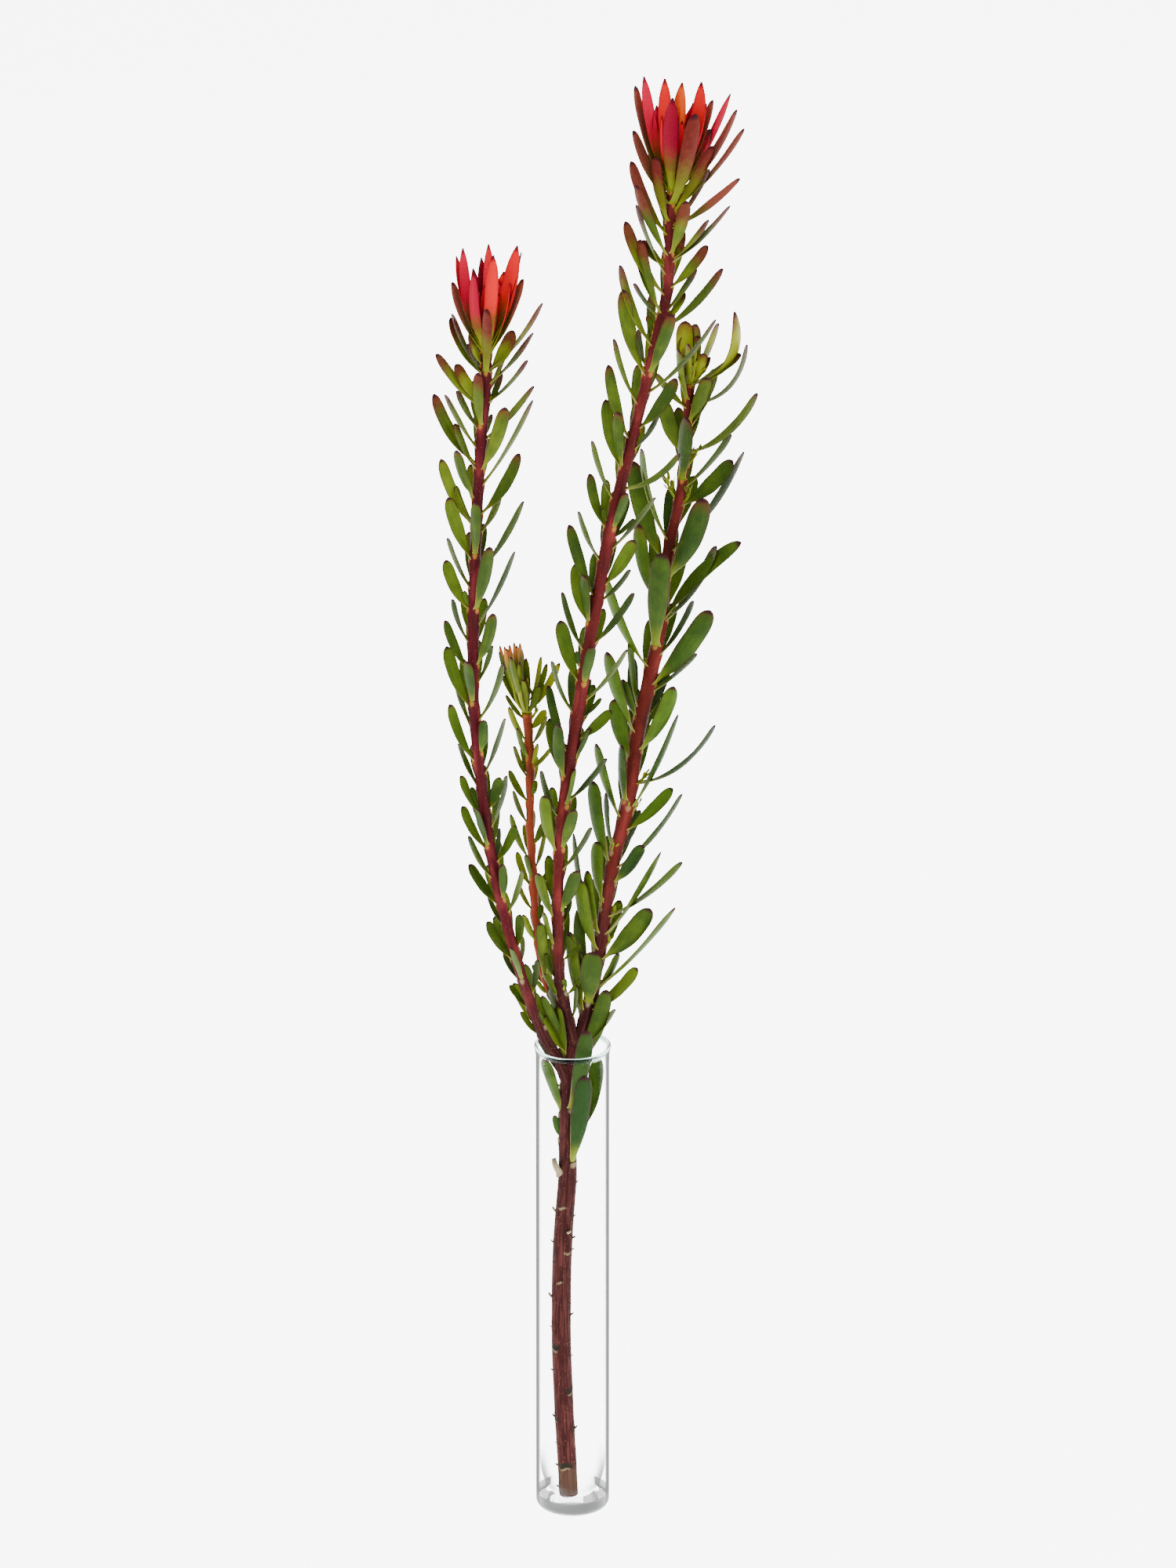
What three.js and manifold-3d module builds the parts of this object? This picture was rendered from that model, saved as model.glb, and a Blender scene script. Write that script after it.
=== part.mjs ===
// A cut, branched conebush stem with two red flower heads, standing in a tall clear glass cylinder vase.
// Millimetres, +Z up. The origin is the middle of the vase's flat underside, and +Y points away
// from the viewer.
import * as THREE from 'three';
import { mergeVertices } from 'three/addons/utils/BufferGeometryUtils.js';
import Module from 'manifold-3d';

// Driving dimensions
const GAP = 0.3;

const VASE = {
  height: 332,
  bodyRadius: 24,
  lipRadius: 25.2,
  wall: 2.1,
  lipFlare: 9,
  beadGrowth: 0.2,
  floorThickness: 9.5,
  footRadius: 5,
  cornerRadius: 4,
  segments: 48,
};

const STEM_SIDES = 10;
const STEPS_PER_STRETCH = 2;
const BUTT_CLEARANCE = 0.6;

const BLADE = {
  stations: 9,
  thickness: 1.1,
  rimThickness: 0.35,
  seat: 0.55,
  bow: 0.07,
  bowAt: 0.45,
};

// Leaf outlines: width at the base and the tip as shares of the full width, and where the blade is widest
const LEAF_OUTLINE = { base: 0.36, tip: 0.3, widestAt: 0.66 };
const BRACT_OUTLINE = { base: 0.32, tip: 0.12, widestAt: 0.42 };

// Every stem runs through its points as one smooth curve; each point is x, y, z and the stem's radius there
const STEMS = {
  main_stem: [
    [-2.5, -7, VASE.floorThickness + BUTT_CLEARANCE, 5.1],
    [-6, -6, 80, 5.1],
    [-7.4, -5, 126, 5.2],
    [-6.6, -4, 188, 5.4],
    [-3.3, -3, 241, 5.6],
    [-3.6, -2, 280, 4.6],
    [-2.6, -1, 305, 4.6],
    [-0.6, 0, 321, 4.6],
    [1.6, 0, 332, 4.4],
  ],
  branch_left: [
    [-2.7, -1, 303, 4],
    [-10.1, -4, 324, 4],
    [-17, -6, 337, 3.8],
    [-24.2, -8, 355, 3.4],
    [-36, -12, 396, 3.2],
    [-51, -15, 463, 3],
    [-59, -18, 524, 3.1],
    [-64.3, -21, 589, 3.1],
    [-63.5, -24, 672, 3.1],
    [-60.4, -26, 750, 3],
    [-56.3, -29, 812, 2.8],
    [-55.3, -30, 842, 2.6],
  ],
  branch_short: [
    [-0.8, 0, 320, 2],
    [-5, 6, 341, 2.1],
    [-10, 8, 355, 2.1],
    [-18.6, 12, 375, 2.1],
    [-24.2, 15, 419, 2.1],
    [-27.2, 18, 470, 2.1],
    [-27.8, 20, 525, 2],
    [-29.5, 22, 560, 1.8],
  ],
  branch_centre: [
    [1.6, 0, 330, 3.4],
    [-3.5, 0, 352, 3.3],
    [-8.5, 2, 379, 3.1],
    [-9.3, 3, 450, 3.1],
    [-6, 3, 499, 3.5],
    [3.5, 0, 568, 3.6],
    [14.4, -2, 641, 3.6],
    [26.4, -5, 710, 3.5],
    [37.5, -7, 760, 3.1],
    [48, -9, 807, 3],
    [56.5, -10, 846, 2.8],
    [61.8, -10, 874, 2.7],
    [63.2, -10, 920, 2.5],
    [65.4, -10, 948, 2.5],
  ],
  branch_right: [
    [1.6, 0, 328, 3.6],
    [10.5, 4, 356, 3.7],
    [18.2, 12, 399, 3.7],
    [26, 20, 450, 3.8],
    [36.2, 26, 494, 4.1],
    [42.3, 32, 537, 4.2],
    [50, 36, 576, 4.2],
    [56.6, 40, 610, 3.8],
    [62.2, 44, 663, 3.2],
    [70.3, 46, 705, 2.8],
    [74.3, 48, 746, 2.1],
    [76.3, 50, 781, 1.9],
  ],
};

// Where each branch leaves an older stem, it is cut back from that stem
const GROWS_FROM = {
  branch_left: ['main_stem'],
  branch_short: ['main_stem'],
  branch_centre: ['main_stem', 'branch_short'],
  branch_right: ['main_stem', 'branch_short', 'branch_centre'],
};

// Leaves: height of the seat on the stem, tip x, y, z, and width
const LEAVES = {
  mouth: {
    stem: 'main_stem',
    colour: 0x4f7a3a,
    rows: [
      [247, 9, -15, 312, 11],
      [268, 18, -5, 320, 8],
      [284, -18.5, -5, 318, 5],
      [288, 10, -15, 343, 9],
      [309, 23, -7, 371, 10],
    ],
  },
  left: {
    stem: 'branch_left',
    colour: 0x5f8f3c,
    rows: [
      [797, -88, -28, 834, 6],
      [757, -89, -24, 804, 7.5],
      [753, -44, -36, 800, 9],
      [689, -80, -20, 730, 8.5],
      [654, -54, -37, 702, 8.5],
      [543, -80, -23, 584, 7],
      [439, -67, -14, 466, 7],
    ],
  },
  short: {
    stem: 'branch_short',
    colour: 0x7d9c3a,
    rows: [
      [540, -41, 19, 564, 4.5],
      [548, -18, 15, 563, 5.5],
      [497, -41, 19, 519, 4.5],
      [466, -19, 12, 485, 4.5],
    ],
  },
  centre: {
    stem: 'branch_centre',
    colour: 0x628c3b,
    rows: [
      [846, 97, -4, 884, 6],
      [815, 64, -23, 860, 9],
      [775, 67, -20, 813, 8.5],
      [745, 22, -14, 796, 10],
      [662, 42, -17, 698, 9],
      [653, -2, -6, 704, 8],
      [591, -8, -7, 637, 10],
      [550, 25, -15, 576, 7],
    ],
  },
  right: {
    stem: 'branch_right',
    colour: 0x557f3b,
    rows: [
      [733, 120, 47, 774, 6],
      [715, 74, 26, 766, 9],
      [647, 82, 27, 709, 14],
      [600, 58, 15, 675, 13.5],
      [619, 109, 43, 671, 10],
      [575, 89, 24, 630, 13],
      [453, 14, 24, 508, 9.5],
      [389, 50, 0, 428, 12.5],
      [360, 14, -15, 404, 14],
    ],
  },
};

// Flower heads: whorls of bracts round the top of a stem, each with its count, how far below the
// stem's end it sits, how far its tips rise and spread, the bracts' width, and the direction of the
// first one in degrees from +X
const HEADS = {
  left: {
    stem: 'branch_left',
    whorls: [
      { count: 5, below: 4, rise: 63, spread: 16, width: 8.5, first: 20, colour: 0xe2473f },
      { count: 5, below: 12, rise: 50, spread: 23, width: 6, first: 56, colour: 0x7c2f35 },
    ],
  },
  centre: {
    stem: 'branch_centre',
    whorls: [
      { count: 5, below: 4, rise: 65, spread: 17, width: 9, first: 50, colour: 0xe2473f },
      { count: 5, below: 12, rise: 56, spread: 29, width: 7, first: 14, colour: 0x7c2f35 },
    ],
  },
};

const COLOURS = {
  glass: 0xdfece8,
  woodyStem: 0x6e3b36,
  redStem: 0x8a2b3c,
  orangeStem: 0xa8452f,
};

const ROUGHNESS = { glass: 0.05, stem: 0.6, leaf: 0.45 };

// Joins closed rings of equal length into one closed body, with a flat fan at each end
function loft(rings) {
  const sides = rings[0].length;
  const points = rings.flat();
  const faces = [];
  for (let ring = 0; ring + 1 < rings.length; ring += 1) {
    for (let side = 0; side < sides; side += 1) {
      const next = (side + 1) % sides;
      const a = ring * sides + side;
      const b = ring * sides + next;
      faces.push(a, b, b + sides, a, b + sides, a + sides);
    }
  }
  const last = (rings.length - 1) * sides;
  for (let side = 1; side + 1 < sides; side += 1) {
    faces.push(0, side + 1, side);
    faces.push(last, last + side, last + side + 1);
  }
  const geometry = new THREE.BufferGeometry().setFromPoints(points);
  geometry.setIndex(faces);
  return geometry;
}

// The curve of a stem, with its radius anywhere along it
class Stem {
  constructor(rows) {
    this.curve = new THREE.CatmullRomCurve3(rows.map(([x, y, z]) => new THREE.Vector3(x, y, z)));
    this.radii = rows.map(([, , , radius]) => radius);
    this.stretches = rows.length - 1;
  }

  radiusAt(fraction) {
    const place = Math.min(fraction, 1) * this.stretches;
    const stretch = Math.min(Math.floor(place), this.stretches - 1);
    return THREE.MathUtils.lerp(this.radii[stretch], this.radii[stretch + 1], place - stretch);
  }

  // The fraction of the curve that reaches a height; stems never turn down
  fractionAtHeight(height) {
    let low = 0;
    let high = 1;
    for (let step = 0; step < 30; step += 1) {
      const middle = (low + high) / 2;
      if (this.curve.getPoint(middle).z < height) low = middle;
      else high = middle;
    }
    return (low + high) / 2;
  }

  // The stem's surface, grown outwards by a margin all round and at its far end
  surface(margin = 0) {
    const steps = this.stretches * STEPS_PER_STRETCH;
    const across = new THREE.Vector3(1, 0, 0);
    const rings = [];
    for (let step = 0; step <= steps; step += 1) {
      const fraction = step / steps;
      const along = this.curve.getTangent(fraction);
      across.addScaledVector(along, -across.dot(along)).normalize();
      const round = new THREE.Vector3().crossVectors(along, across);
      const centre = this.curve.getPoint(fraction);
      if (step === steps) centre.addScaledVector(along, margin);
      const radius = this.radiusAt(fraction) + margin;
      const ring = [];
      for (let side = 0; side < STEM_SIDES; side += 1) {
        const turn = (side / STEM_SIDES) * Math.PI * 2;
        const offset = across.clone().multiplyScalar(radius * Math.cos(turn));
        offset.addScaledVector(round, radius * Math.sin(turn));
        ring.push(centre.clone().add(offset));
      }
      rings.push(ring);
    }
    return loft(rings);
  }
}

// Share of a blade's full width at a fraction of its length
function outlineWidth(outline, fraction) {
  if (fraction < outline.widestAt) {
    const rise = THREE.MathUtils.smoothstep(fraction, 0, outline.widestAt);
    return THREE.MathUtils.lerp(outline.base, 1, rise);
  }
  const fall = (fraction - outline.widestAt) / (1 - outline.widestAt);
  return THREE.MathUtils.lerp(outline.tip, 1, Math.sqrt(Math.max(0, 1 - fall * fall)));
}

// A leaf or bract that leaves its stem at a height and bows out a little on its way to its tip
function blade(stem, height, tip, width, outline) {
  const fraction = stem.fractionAtHeight(height);
  const axis = stem.curve.getPoint(fraction);
  const up = stem.curve.getTangent(fraction);
  const out = tip.clone().sub(axis);
  out.addScaledVector(up, -out.dot(up)).normalize();
  const seat = axis.clone().addScaledVector(out, stem.radiusAt(fraction) + GAP + BLADE.seat);
  const chord = tip.clone().sub(seat);
  const bend = out.clone().addScaledVector(chord, -out.dot(chord) / chord.lengthSq()).normalize();
  const middle = seat.clone().lerp(tip, BLADE.bowAt).addScaledVector(bend, chord.length() * BLADE.bow);
  const midrib = new THREE.QuadraticBezierCurve3(seat, middle, tip);
  const sideways = new THREE.Vector3().crossVectors(up, out).normalize();
  const rings = [];
  for (let station = 0; station < BLADE.stations; station += 1) {
    const along = station / (BLADE.stations - 1);
    const centre = midrib.getPoint(along);
    const face = new THREE.Vector3().crossVectors(midrib.getTangent(along), sideways).normalize();
    const halfWidth = (width * outlineWidth(outline, along)) / 2;
    const endTaper = along === 1 ? BLADE.rimThickness : 1;
    const halfThickness = (BLADE.thickness * endTaper) / 2;
    rings.push([
      centre.clone().addScaledVector(sideways, halfWidth),
      centre.clone().addScaledVector(face, halfThickness),
      centre.clone().addScaledVector(sideways, -halfWidth),
      centre.clone().addScaledVector(face, -halfThickness),
    ]);
  }
  return loft(rings);
}

// Half profile of the vase: out along the underside, up the outside, over the lip and down the
// inside to the floor
function vaseProfile() {
  const profile = [new THREE.Vector2(0, 0)];
  const arc = (x, z, radius, from, to, steps) => {
    for (let step = 0; step <= steps; step += 1) {
      const angle = THREE.MathUtils.degToRad(THREE.MathUtils.lerp(from, to, step / steps));
      profile.push(new THREE.Vector2(x + radius * Math.cos(angle), z + radius * Math.sin(angle)));
    }
  };
  const innerRadius = VASE.bodyRadius - VASE.wall;
  const beadRadius = VASE.wall / 2 + VASE.beadGrowth;
  arc(VASE.bodyRadius - VASE.footRadius, VASE.footRadius, VASE.footRadius, -90, 0, 4);
  profile.push(new THREE.Vector2(VASE.bodyRadius, VASE.height - VASE.lipFlare));
  arc(VASE.lipRadius - beadRadius, VASE.height - beadRadius, beadRadius, -20, 190, 6);
  profile.push(new THREE.Vector2(innerRadius, VASE.height - VASE.lipFlare));
  const corner = VASE.cornerRadius;
  arc(innerRadius - corner, VASE.floorThickness + corner, corner, 0, -90, 3);
  profile.push(new THREE.Vector2(0, VASE.floorThickness));
  return profile;
}

const wasm = await Module();
wasm.setup();

// A closed mesh as an exact solid, and back again
function toSolid(geometry) {
  const bare = geometry.clone();
  bare.deleteAttribute('normal');
  bare.deleteAttribute('uv');
  const merged = mergeVertices(bare);
  const mesh = new wasm.Mesh({
    numProp: 3,
    vertProperties: new Float32Array(merged.attributes.position.array),
    triVerts: new Uint32Array(merged.index.array),
  });
  return new wasm.Manifold(mesh);
}

function toGeometry(solid) {
  const { vertProperties, triVerts } = solid.getMesh();
  const geometry = new THREE.BufferGeometry();
  geometry.setAttribute('position', new THREE.BufferAttribute(new Float32Array(vertProperties), 3));
  geometry.setIndex(new THREE.BufferAttribute(new Uint32Array(triVerts), 1));
  return geometry;
}

function named(name, geometry, colour, roughness) {
  geometry.computeVertexNormals();
  const material = new THREE.MeshStandardMaterial({ color: colour, roughness, metalness: 0 });
  const mesh = new THREE.Mesh(geometry, material);
  mesh.name = name;
  return mesh;
}

function makeVase() {
  const turned = new THREE.LatheGeometry(vaseProfile(), VASE.segments);
  turned.rotateX(Math.PI / 2);
  const vase = named('vase', toGeometry(toSolid(turned)), COLOURS.glass, ROUGHNESS.glass);
  vase.material.transparent = true;
  vase.material.opacity = 0.35;
  return vase;
}

function makeStem(name, colour) {
  let solid = toSolid(stems[name].surface());
  for (const older of GROWS_FROM[name] ?? []) {
    solid = solid.subtract(toSolid(stems[older].surface(GAP)));
  }
  return named(name, toGeometry(solid), colour, ROUGHNESS.stem);
}

function makeLeaves(kind) {
  const { stem, colour, rows } = LEAVES[kind];
  return rows.map(([seatHeight, x, y, z, width], index) => {
    const shape = blade(stems[stem], seatHeight, new THREE.Vector3(x, y, z), width, LEAF_OUTLINE);
    return named(`leaf_${kind}_${index + 1}`, shape, colour, ROUGHNESS.leaf);
  });
}

function makeHead(side) {
  const { stem: stemName, whorls } = HEADS[side];
  const stem = stems[stemName];
  const end = stem.curve.getPoint(1);
  const bracts = [];
  for (const whorl of whorls) {
    const height = end.z - whorl.below;
    const foot = stem.curve.getPoint(stem.fractionAtHeight(height));
    for (let place = 0; place < whorl.count; place += 1) {
      const turn = THREE.MathUtils.degToRad(whorl.first + (place * 360) / whorl.count);
      const offset = new THREE.Vector3(Math.cos(turn), Math.sin(turn), 0).multiplyScalar(whorl.spread);
      offset.z = whorl.rise;
      const shape = blade(stem, height, foot.clone().add(offset), whorl.width, BRACT_OUTLINE);
      bracts.push(named(`bract_${side}_${bracts.length + 1}`, shape, whorl.colour, ROUGHNESS.leaf));
    }
  }
  return bracts;
}

const stems = Object.fromEntries(Object.entries(STEMS).map(([name, rows]) => [name, new Stem(rows)]));

const plant = new THREE.Group();
plant.add(
  makeStem('main_stem', COLOURS.woodyStem),
  makeStem('branch_left', COLOURS.redStem),
  makeStem('branch_short', COLOURS.orangeStem),
  makeStem('branch_centre', COLOURS.redStem),
  makeStem('branch_right', COLOURS.redStem),
  ...Object.keys(LEAVES).flatMap(makeLeaves),
  ...Object.keys(HEADS).flatMap(makeHead),
);

const leucadendronInVase = new THREE.Group();
leucadendronInVase.add(makeVase(), plant);

export default leucadendronInVase;
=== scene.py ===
"""A cut conebush stem with two red heads in a slim clear glass vase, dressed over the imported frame.

The frame gives the vase, the stems and the largest leaves their place. Stems repeat the frame's routes in
millimetres. Leaves, bracts and shoots are rows of what one photograph shows of them, and each row is
brought back to its stem in metres by the photograph's own view.
"""

import math
import random
from collections import namedtuple

import bpy
import numpy as np
from mathutils import Matrix, Vector


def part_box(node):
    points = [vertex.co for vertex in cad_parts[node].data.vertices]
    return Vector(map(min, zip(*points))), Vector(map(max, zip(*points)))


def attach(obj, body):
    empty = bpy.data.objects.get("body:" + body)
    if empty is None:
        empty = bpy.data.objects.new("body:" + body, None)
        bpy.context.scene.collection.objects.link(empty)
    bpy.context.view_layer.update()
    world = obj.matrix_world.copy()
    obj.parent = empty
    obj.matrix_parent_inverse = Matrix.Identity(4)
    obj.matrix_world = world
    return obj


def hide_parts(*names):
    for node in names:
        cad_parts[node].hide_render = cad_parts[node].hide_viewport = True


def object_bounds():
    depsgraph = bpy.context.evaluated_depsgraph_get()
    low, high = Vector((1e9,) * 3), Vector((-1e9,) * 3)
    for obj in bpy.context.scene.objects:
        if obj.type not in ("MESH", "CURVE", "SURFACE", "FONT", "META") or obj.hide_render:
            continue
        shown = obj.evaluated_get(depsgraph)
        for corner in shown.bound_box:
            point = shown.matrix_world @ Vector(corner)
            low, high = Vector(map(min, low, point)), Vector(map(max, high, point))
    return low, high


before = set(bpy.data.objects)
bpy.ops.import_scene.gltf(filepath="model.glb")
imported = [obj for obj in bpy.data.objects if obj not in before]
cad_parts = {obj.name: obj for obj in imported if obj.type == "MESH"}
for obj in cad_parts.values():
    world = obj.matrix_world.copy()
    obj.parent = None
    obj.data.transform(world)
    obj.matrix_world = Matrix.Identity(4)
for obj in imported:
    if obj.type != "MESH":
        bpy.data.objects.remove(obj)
CAD_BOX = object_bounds()

bl_info = {
    "name": "Conebush stem in a glass vase",
    "version": (1, 0, 0),
    "blender": (4, 5, 0),
    "location": "3D View > Sidebar > Conebush",
    "description": "Builds a cut branched conebush stem with red heads in a slim clear glass vase",
    "category": "Object",
}

MM = 0.001

# The photograph's view: a long lens far off, looking down on the vase
PHOTO_WIDTH = 1500
PHOTO_HEIGHT = 2000
VIEW_DOWN = math.radians(24)
VIEW_DISTANCE = 20.0
VIEW_TARGET = np.array((0.010115, 0.0, 0.51818))
LENS = 704.7
SENSOR = 36.0
VIEW_REACH = 200.0
FOCAL_PIXELS = LENS / SENSOR * PHOTO_HEIGHT
FORWARD = np.array((0.0, math.cos(VIEW_DOWN), -math.sin(VIEW_DOWN)))
UPWARD = np.array((0.0, math.sin(VIEW_DOWN), math.cos(VIEW_DOWN)))
RIGHTWARD = np.array((1.0, 0.0, 0.0))
EYE = VIEW_TARGET - FORWARD * VIEW_DISTANCE

# Each stem as x, y, z and radius in millimetres, along one smooth curve
STEMS = {
    "main_stem": (
        (-2.5, -7, 10.1, 5.8), (-6, -6, 80, 6), (-7.4, -5, 126, 6), (-6.6, -4, 188, 6),
        (-3.3, -3, 241, 5.7), (-3.6, -2, 280, 4.7), (-2.6, -1, 305, 4.6), (-0.6, 0, 321, 4.6),
        (1.6, 0, 332, 4.4),
    ),
    "branch_left": (
        (-2.7, -1, 303, 3.6), (-10.1, -4, 324, 3.6), (-17, -6, 337, 3.4), (-24.2, -8, 355, 3.1),
        (-36, -12, 396, 3), (-51, -15, 463, 3), (-59, -18, 524, 3.1), (-64.3, -21, 589, 3.1),
        (-63.5, -24, 672, 3.1), (-60.4, -26, 750, 3), (-56.3, -29, 812, 2.8), (-55.3, -30, 842, 2.6),
    ),
    "branch_short": (
        (-0.8, 0, 320, 2), (-5, 6, 341, 2.1), (-10, 8, 355, 2.1), (-18.6, 12, 375, 2.1),
        (-24.2, 15, 419, 2.1), (-27.2, 18, 470, 2.1), (-27.8, 20, 525, 2), (-29.5, 22, 560, 1.8),
    ),
    "branch_centre": (
        (1.6, 0, 330, 3.4), (-3.5, 0, 352, 3.3), (-8.5, 2, 379, 3.1), (-9.3, 3, 450, 3.1),
        (-6, 3, 499, 3.5), (3.5, 0, 568, 3.6), (14.4, -2, 641, 3.6), (26.4, -5, 710, 3.5),
        (37.5, -7, 760, 3.1), (48, -9, 807, 3), (56.5, -10, 846, 2.8), (61.8, -10, 874, 2.7),
        (63.2, -10, 920, 2.5), (65.4, -10, 948, 2.5),
    ),
    "branch_right": (
        (1.6, 0, 328, 3.6), (10.5, 4, 356, 3.7), (18.2, 12, 399, 3.7), (26, 20, 450, 3.8),
        (36.2, 26, 494, 4.1), (42.3, 32, 537, 4.2), (50, 36, 576, 4.2), (56.6, 40, 610, 3.8),
        (62.2, 44, 663, 3.2), (70.3, 46, 705, 2.8), (74.3, 48, 746, 2.1), (76.3, 50, 781, 1.9),
    ),
}

# What the photograph shows of one blade: the picture height of its foot, the picture place of its tip, how
# wide it looks in millimetres, which way it leans (-1 towards the viewer, 1 away), how ripe or red it is,
# its tone (0 dark, 1 light, and a maroon bract turns browner), and its bow as a share of its length
Seen = namedtuple("Seen", "foot_y tip_x tip_y wide lean ripe tone bow", defaults=(None, None, 0.05))

LEAVES_LEFT = (
    (478, 575, 407, 6.6, 0.3), (476, 577, 402, 1.5, 0.5), (465, 600, 425, 5.1, -0.6),
    (478, 597, 440, 2.0, -0.8), (474, 654, 423, 8.7, -0.5), (470, 691, 388, 1.3, 0.2),
    (488, 679, 426, 1.3, 0.4), (500, 645, 451, 2.0, 1), (512, 672, 461, 3.1, -0.3),
    (520, 640, 478, 4.1, 1), (520, 557, 453, 6.1, -0.2), (515, 582, 466, 7.7, 0.8),
    (540, 610, 477, 7.2, -1), (548, 583, 500, 4.1, 0.9), (560, 680, 494, 4.1, 0.4),
    (618, 679, 512, 1.5, 0.1), (597, 644, 521, 9.2, -0.7), (592, 554, 504, 7.7, -0.2),
    (572, 568, 505, 3.1, 0.6), (597, 580, 542, 4.6, -0.8), (560, 627, 530, 2.6, 1),
    (635, 583, 576, 6.6, -0.8), (670, 563, 587, 7.7, 0.2), (655, 662, 580, 7.7, -0.4),
    (680, 639, 632, 4.1, 1), (668, 581, 621, 4.1, 0.8), (713, 572, 636, 8.7, -0.4),
    (705, 607, 642, 7.2, -1), (730, 667, 641, 4.1, -0.2), (775, 624, 699, 8.7, -0.9),
    (750, 571, 688, 1.5, 0.3), (778, 569, 716, 8.2, 0.2), (775, 593, 755, 3.6, -0.8),
    (797, 656, 705, 2.0, 0.2), (820, 577, 766, 2.6, 0.6), (855, 568, 793, 6.1, -0.3),
    (847, 628, 784, 7.7, -0.6), (902, 570, 826, 8.2, 0.3), (893, 596, 845, 6.6, -1),
    (872, 628, 825, 1.5, 0.6), (918, 642, 848, 4.1, -0.2), (930, 580, 865, 3.6, 0.6),
    (970, 574, 900, 6.6, -0.3), (958, 616, 920, 6.6, -0.9), (988, 644, 918, 2.0, 0.3),
    (1004, 585, 950, 1.5, 0.5), (1040, 588, 991, 5.1, -0.3), (1033, 637, 993, 7.2, -0.5),
    (1055, 646, 991, 2.0, 0.4), (1082, 590, 1030, 6.1, 0.2), (1076, 608, 1032, 4.1, -1),
    (1118, 598, 1068, 4.1, -0.3), (1100, 658, 1055, 6.1, -0.4), (1100, 637, 1058, 1.2, 1),
    (1153, 599, 1104, 6.6, 0.2), (1145, 640, 1104, 6.1, -0.9), (1182, 623, 1145, 1.5, 0.5),
    (1165, 667, 1112, 4.1, 0.2), (1222, 622, 1177, 6.1, -0.2), (1210, 663, 1168, 6.1, -0.6),
    (1250, 643, 1216, 4.1, 0.3), (1230, 666, 1195, 1.2, 1), (1270, 686, 1226, 4.6, -0.2),
    (1285, 651, 1258, 4.1, 0.4), (1247, 652, 1210, 4.1, -1), (1318, 665, 1292, 4.1, -0.3),
    (1310, 686, 1292, 4.1, -0.7),
)

LEAVES_SHORT = (
    (893, 652, 839, 4.2, -0.9, None, 0.1), (903, 637, 833, 2.2, 0.1, None, 0.2),
    (903, 665, 829, 2.2, 0.4, None, 0.2), (896, 638, 825, 2.6, 0.2, 0.9, 0.3),
    (896, 644, 826, 2.8, -0.2, 1.0, 0.35), (896, 650, 824, 3.0, 0.5, 1.0, 0.2),
    (896, 656, 821, 3.0, 0.1, 1.0, 0.35), (896, 659, 825, 2.6, 0.7, 0.9, 0.3),
    (897, 663, 822, 1.4, 0.3, 0.8, 0.2), (896, 647, 829, 2.6, 0.9, 1.0, 0.2),
    (904, 641, 862, 3.6, -0.4, None, 0.2), (903, 645, 853, 3.4, -0.2, None, 0.2),
    (900, 667, 868, 4.8, -1.2, None, 0.3), (902, 671, 841, 4.2, 0.3), (905, 697, 848, 3.8, 0.2),
    (906, 713, 847, 4.8, -0.1), (909, 687, 876, 5.2, -1.2), (905, 690, 839, 2.2, 0.6),
    (905, 663, 846, 2.6, -0.3, None, None, 0.16), (945, 650, 903, 4.1, -0.2), (965, 660, 930, 3.6, -1),
    (918, 646, 888, 1.3, 0.3), (930, 695, 907, 5.6, -0.3), (950, 697, 915, 1.5, 0.3),
    (992, 656, 953, 2.0, 0.3), (975, 685, 950, 1.5, -0.6), (980, 703, 955, 1.5, 0.2),
    (1022, 650, 984, 4.6, -0.2), (1015, 683, 997, 3.6, -0.9), (1050, 655, 1010, 1.5, 0.3),
    (1095, 652, 1040, 4.1, -0.2), (1078, 693, 1050, 4.6, -0.4), (1130, 660, 1088, 4.6, 0.3),
    (1108, 695, 1062, 1.2, 0.3), (1118, 671, 1092, 3.6, -1), (1160, 662, 1130, 2.0, 0.4),
    (1175, 690, 1155, 4.1, -0.6), (1200, 668, 1168, 4.6, -0.3), (1130, 704, 1108, 4.1, 0.3),
    (1245, 689, 1178, 7.7, -0.9), (1267, 686, 1252, 1.2, 0.4), (1330, 692, 1271, 6.0, -1.2, None, 0.1),
    (1322, 705, 1290, 3.4, -0.8),
)

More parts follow.
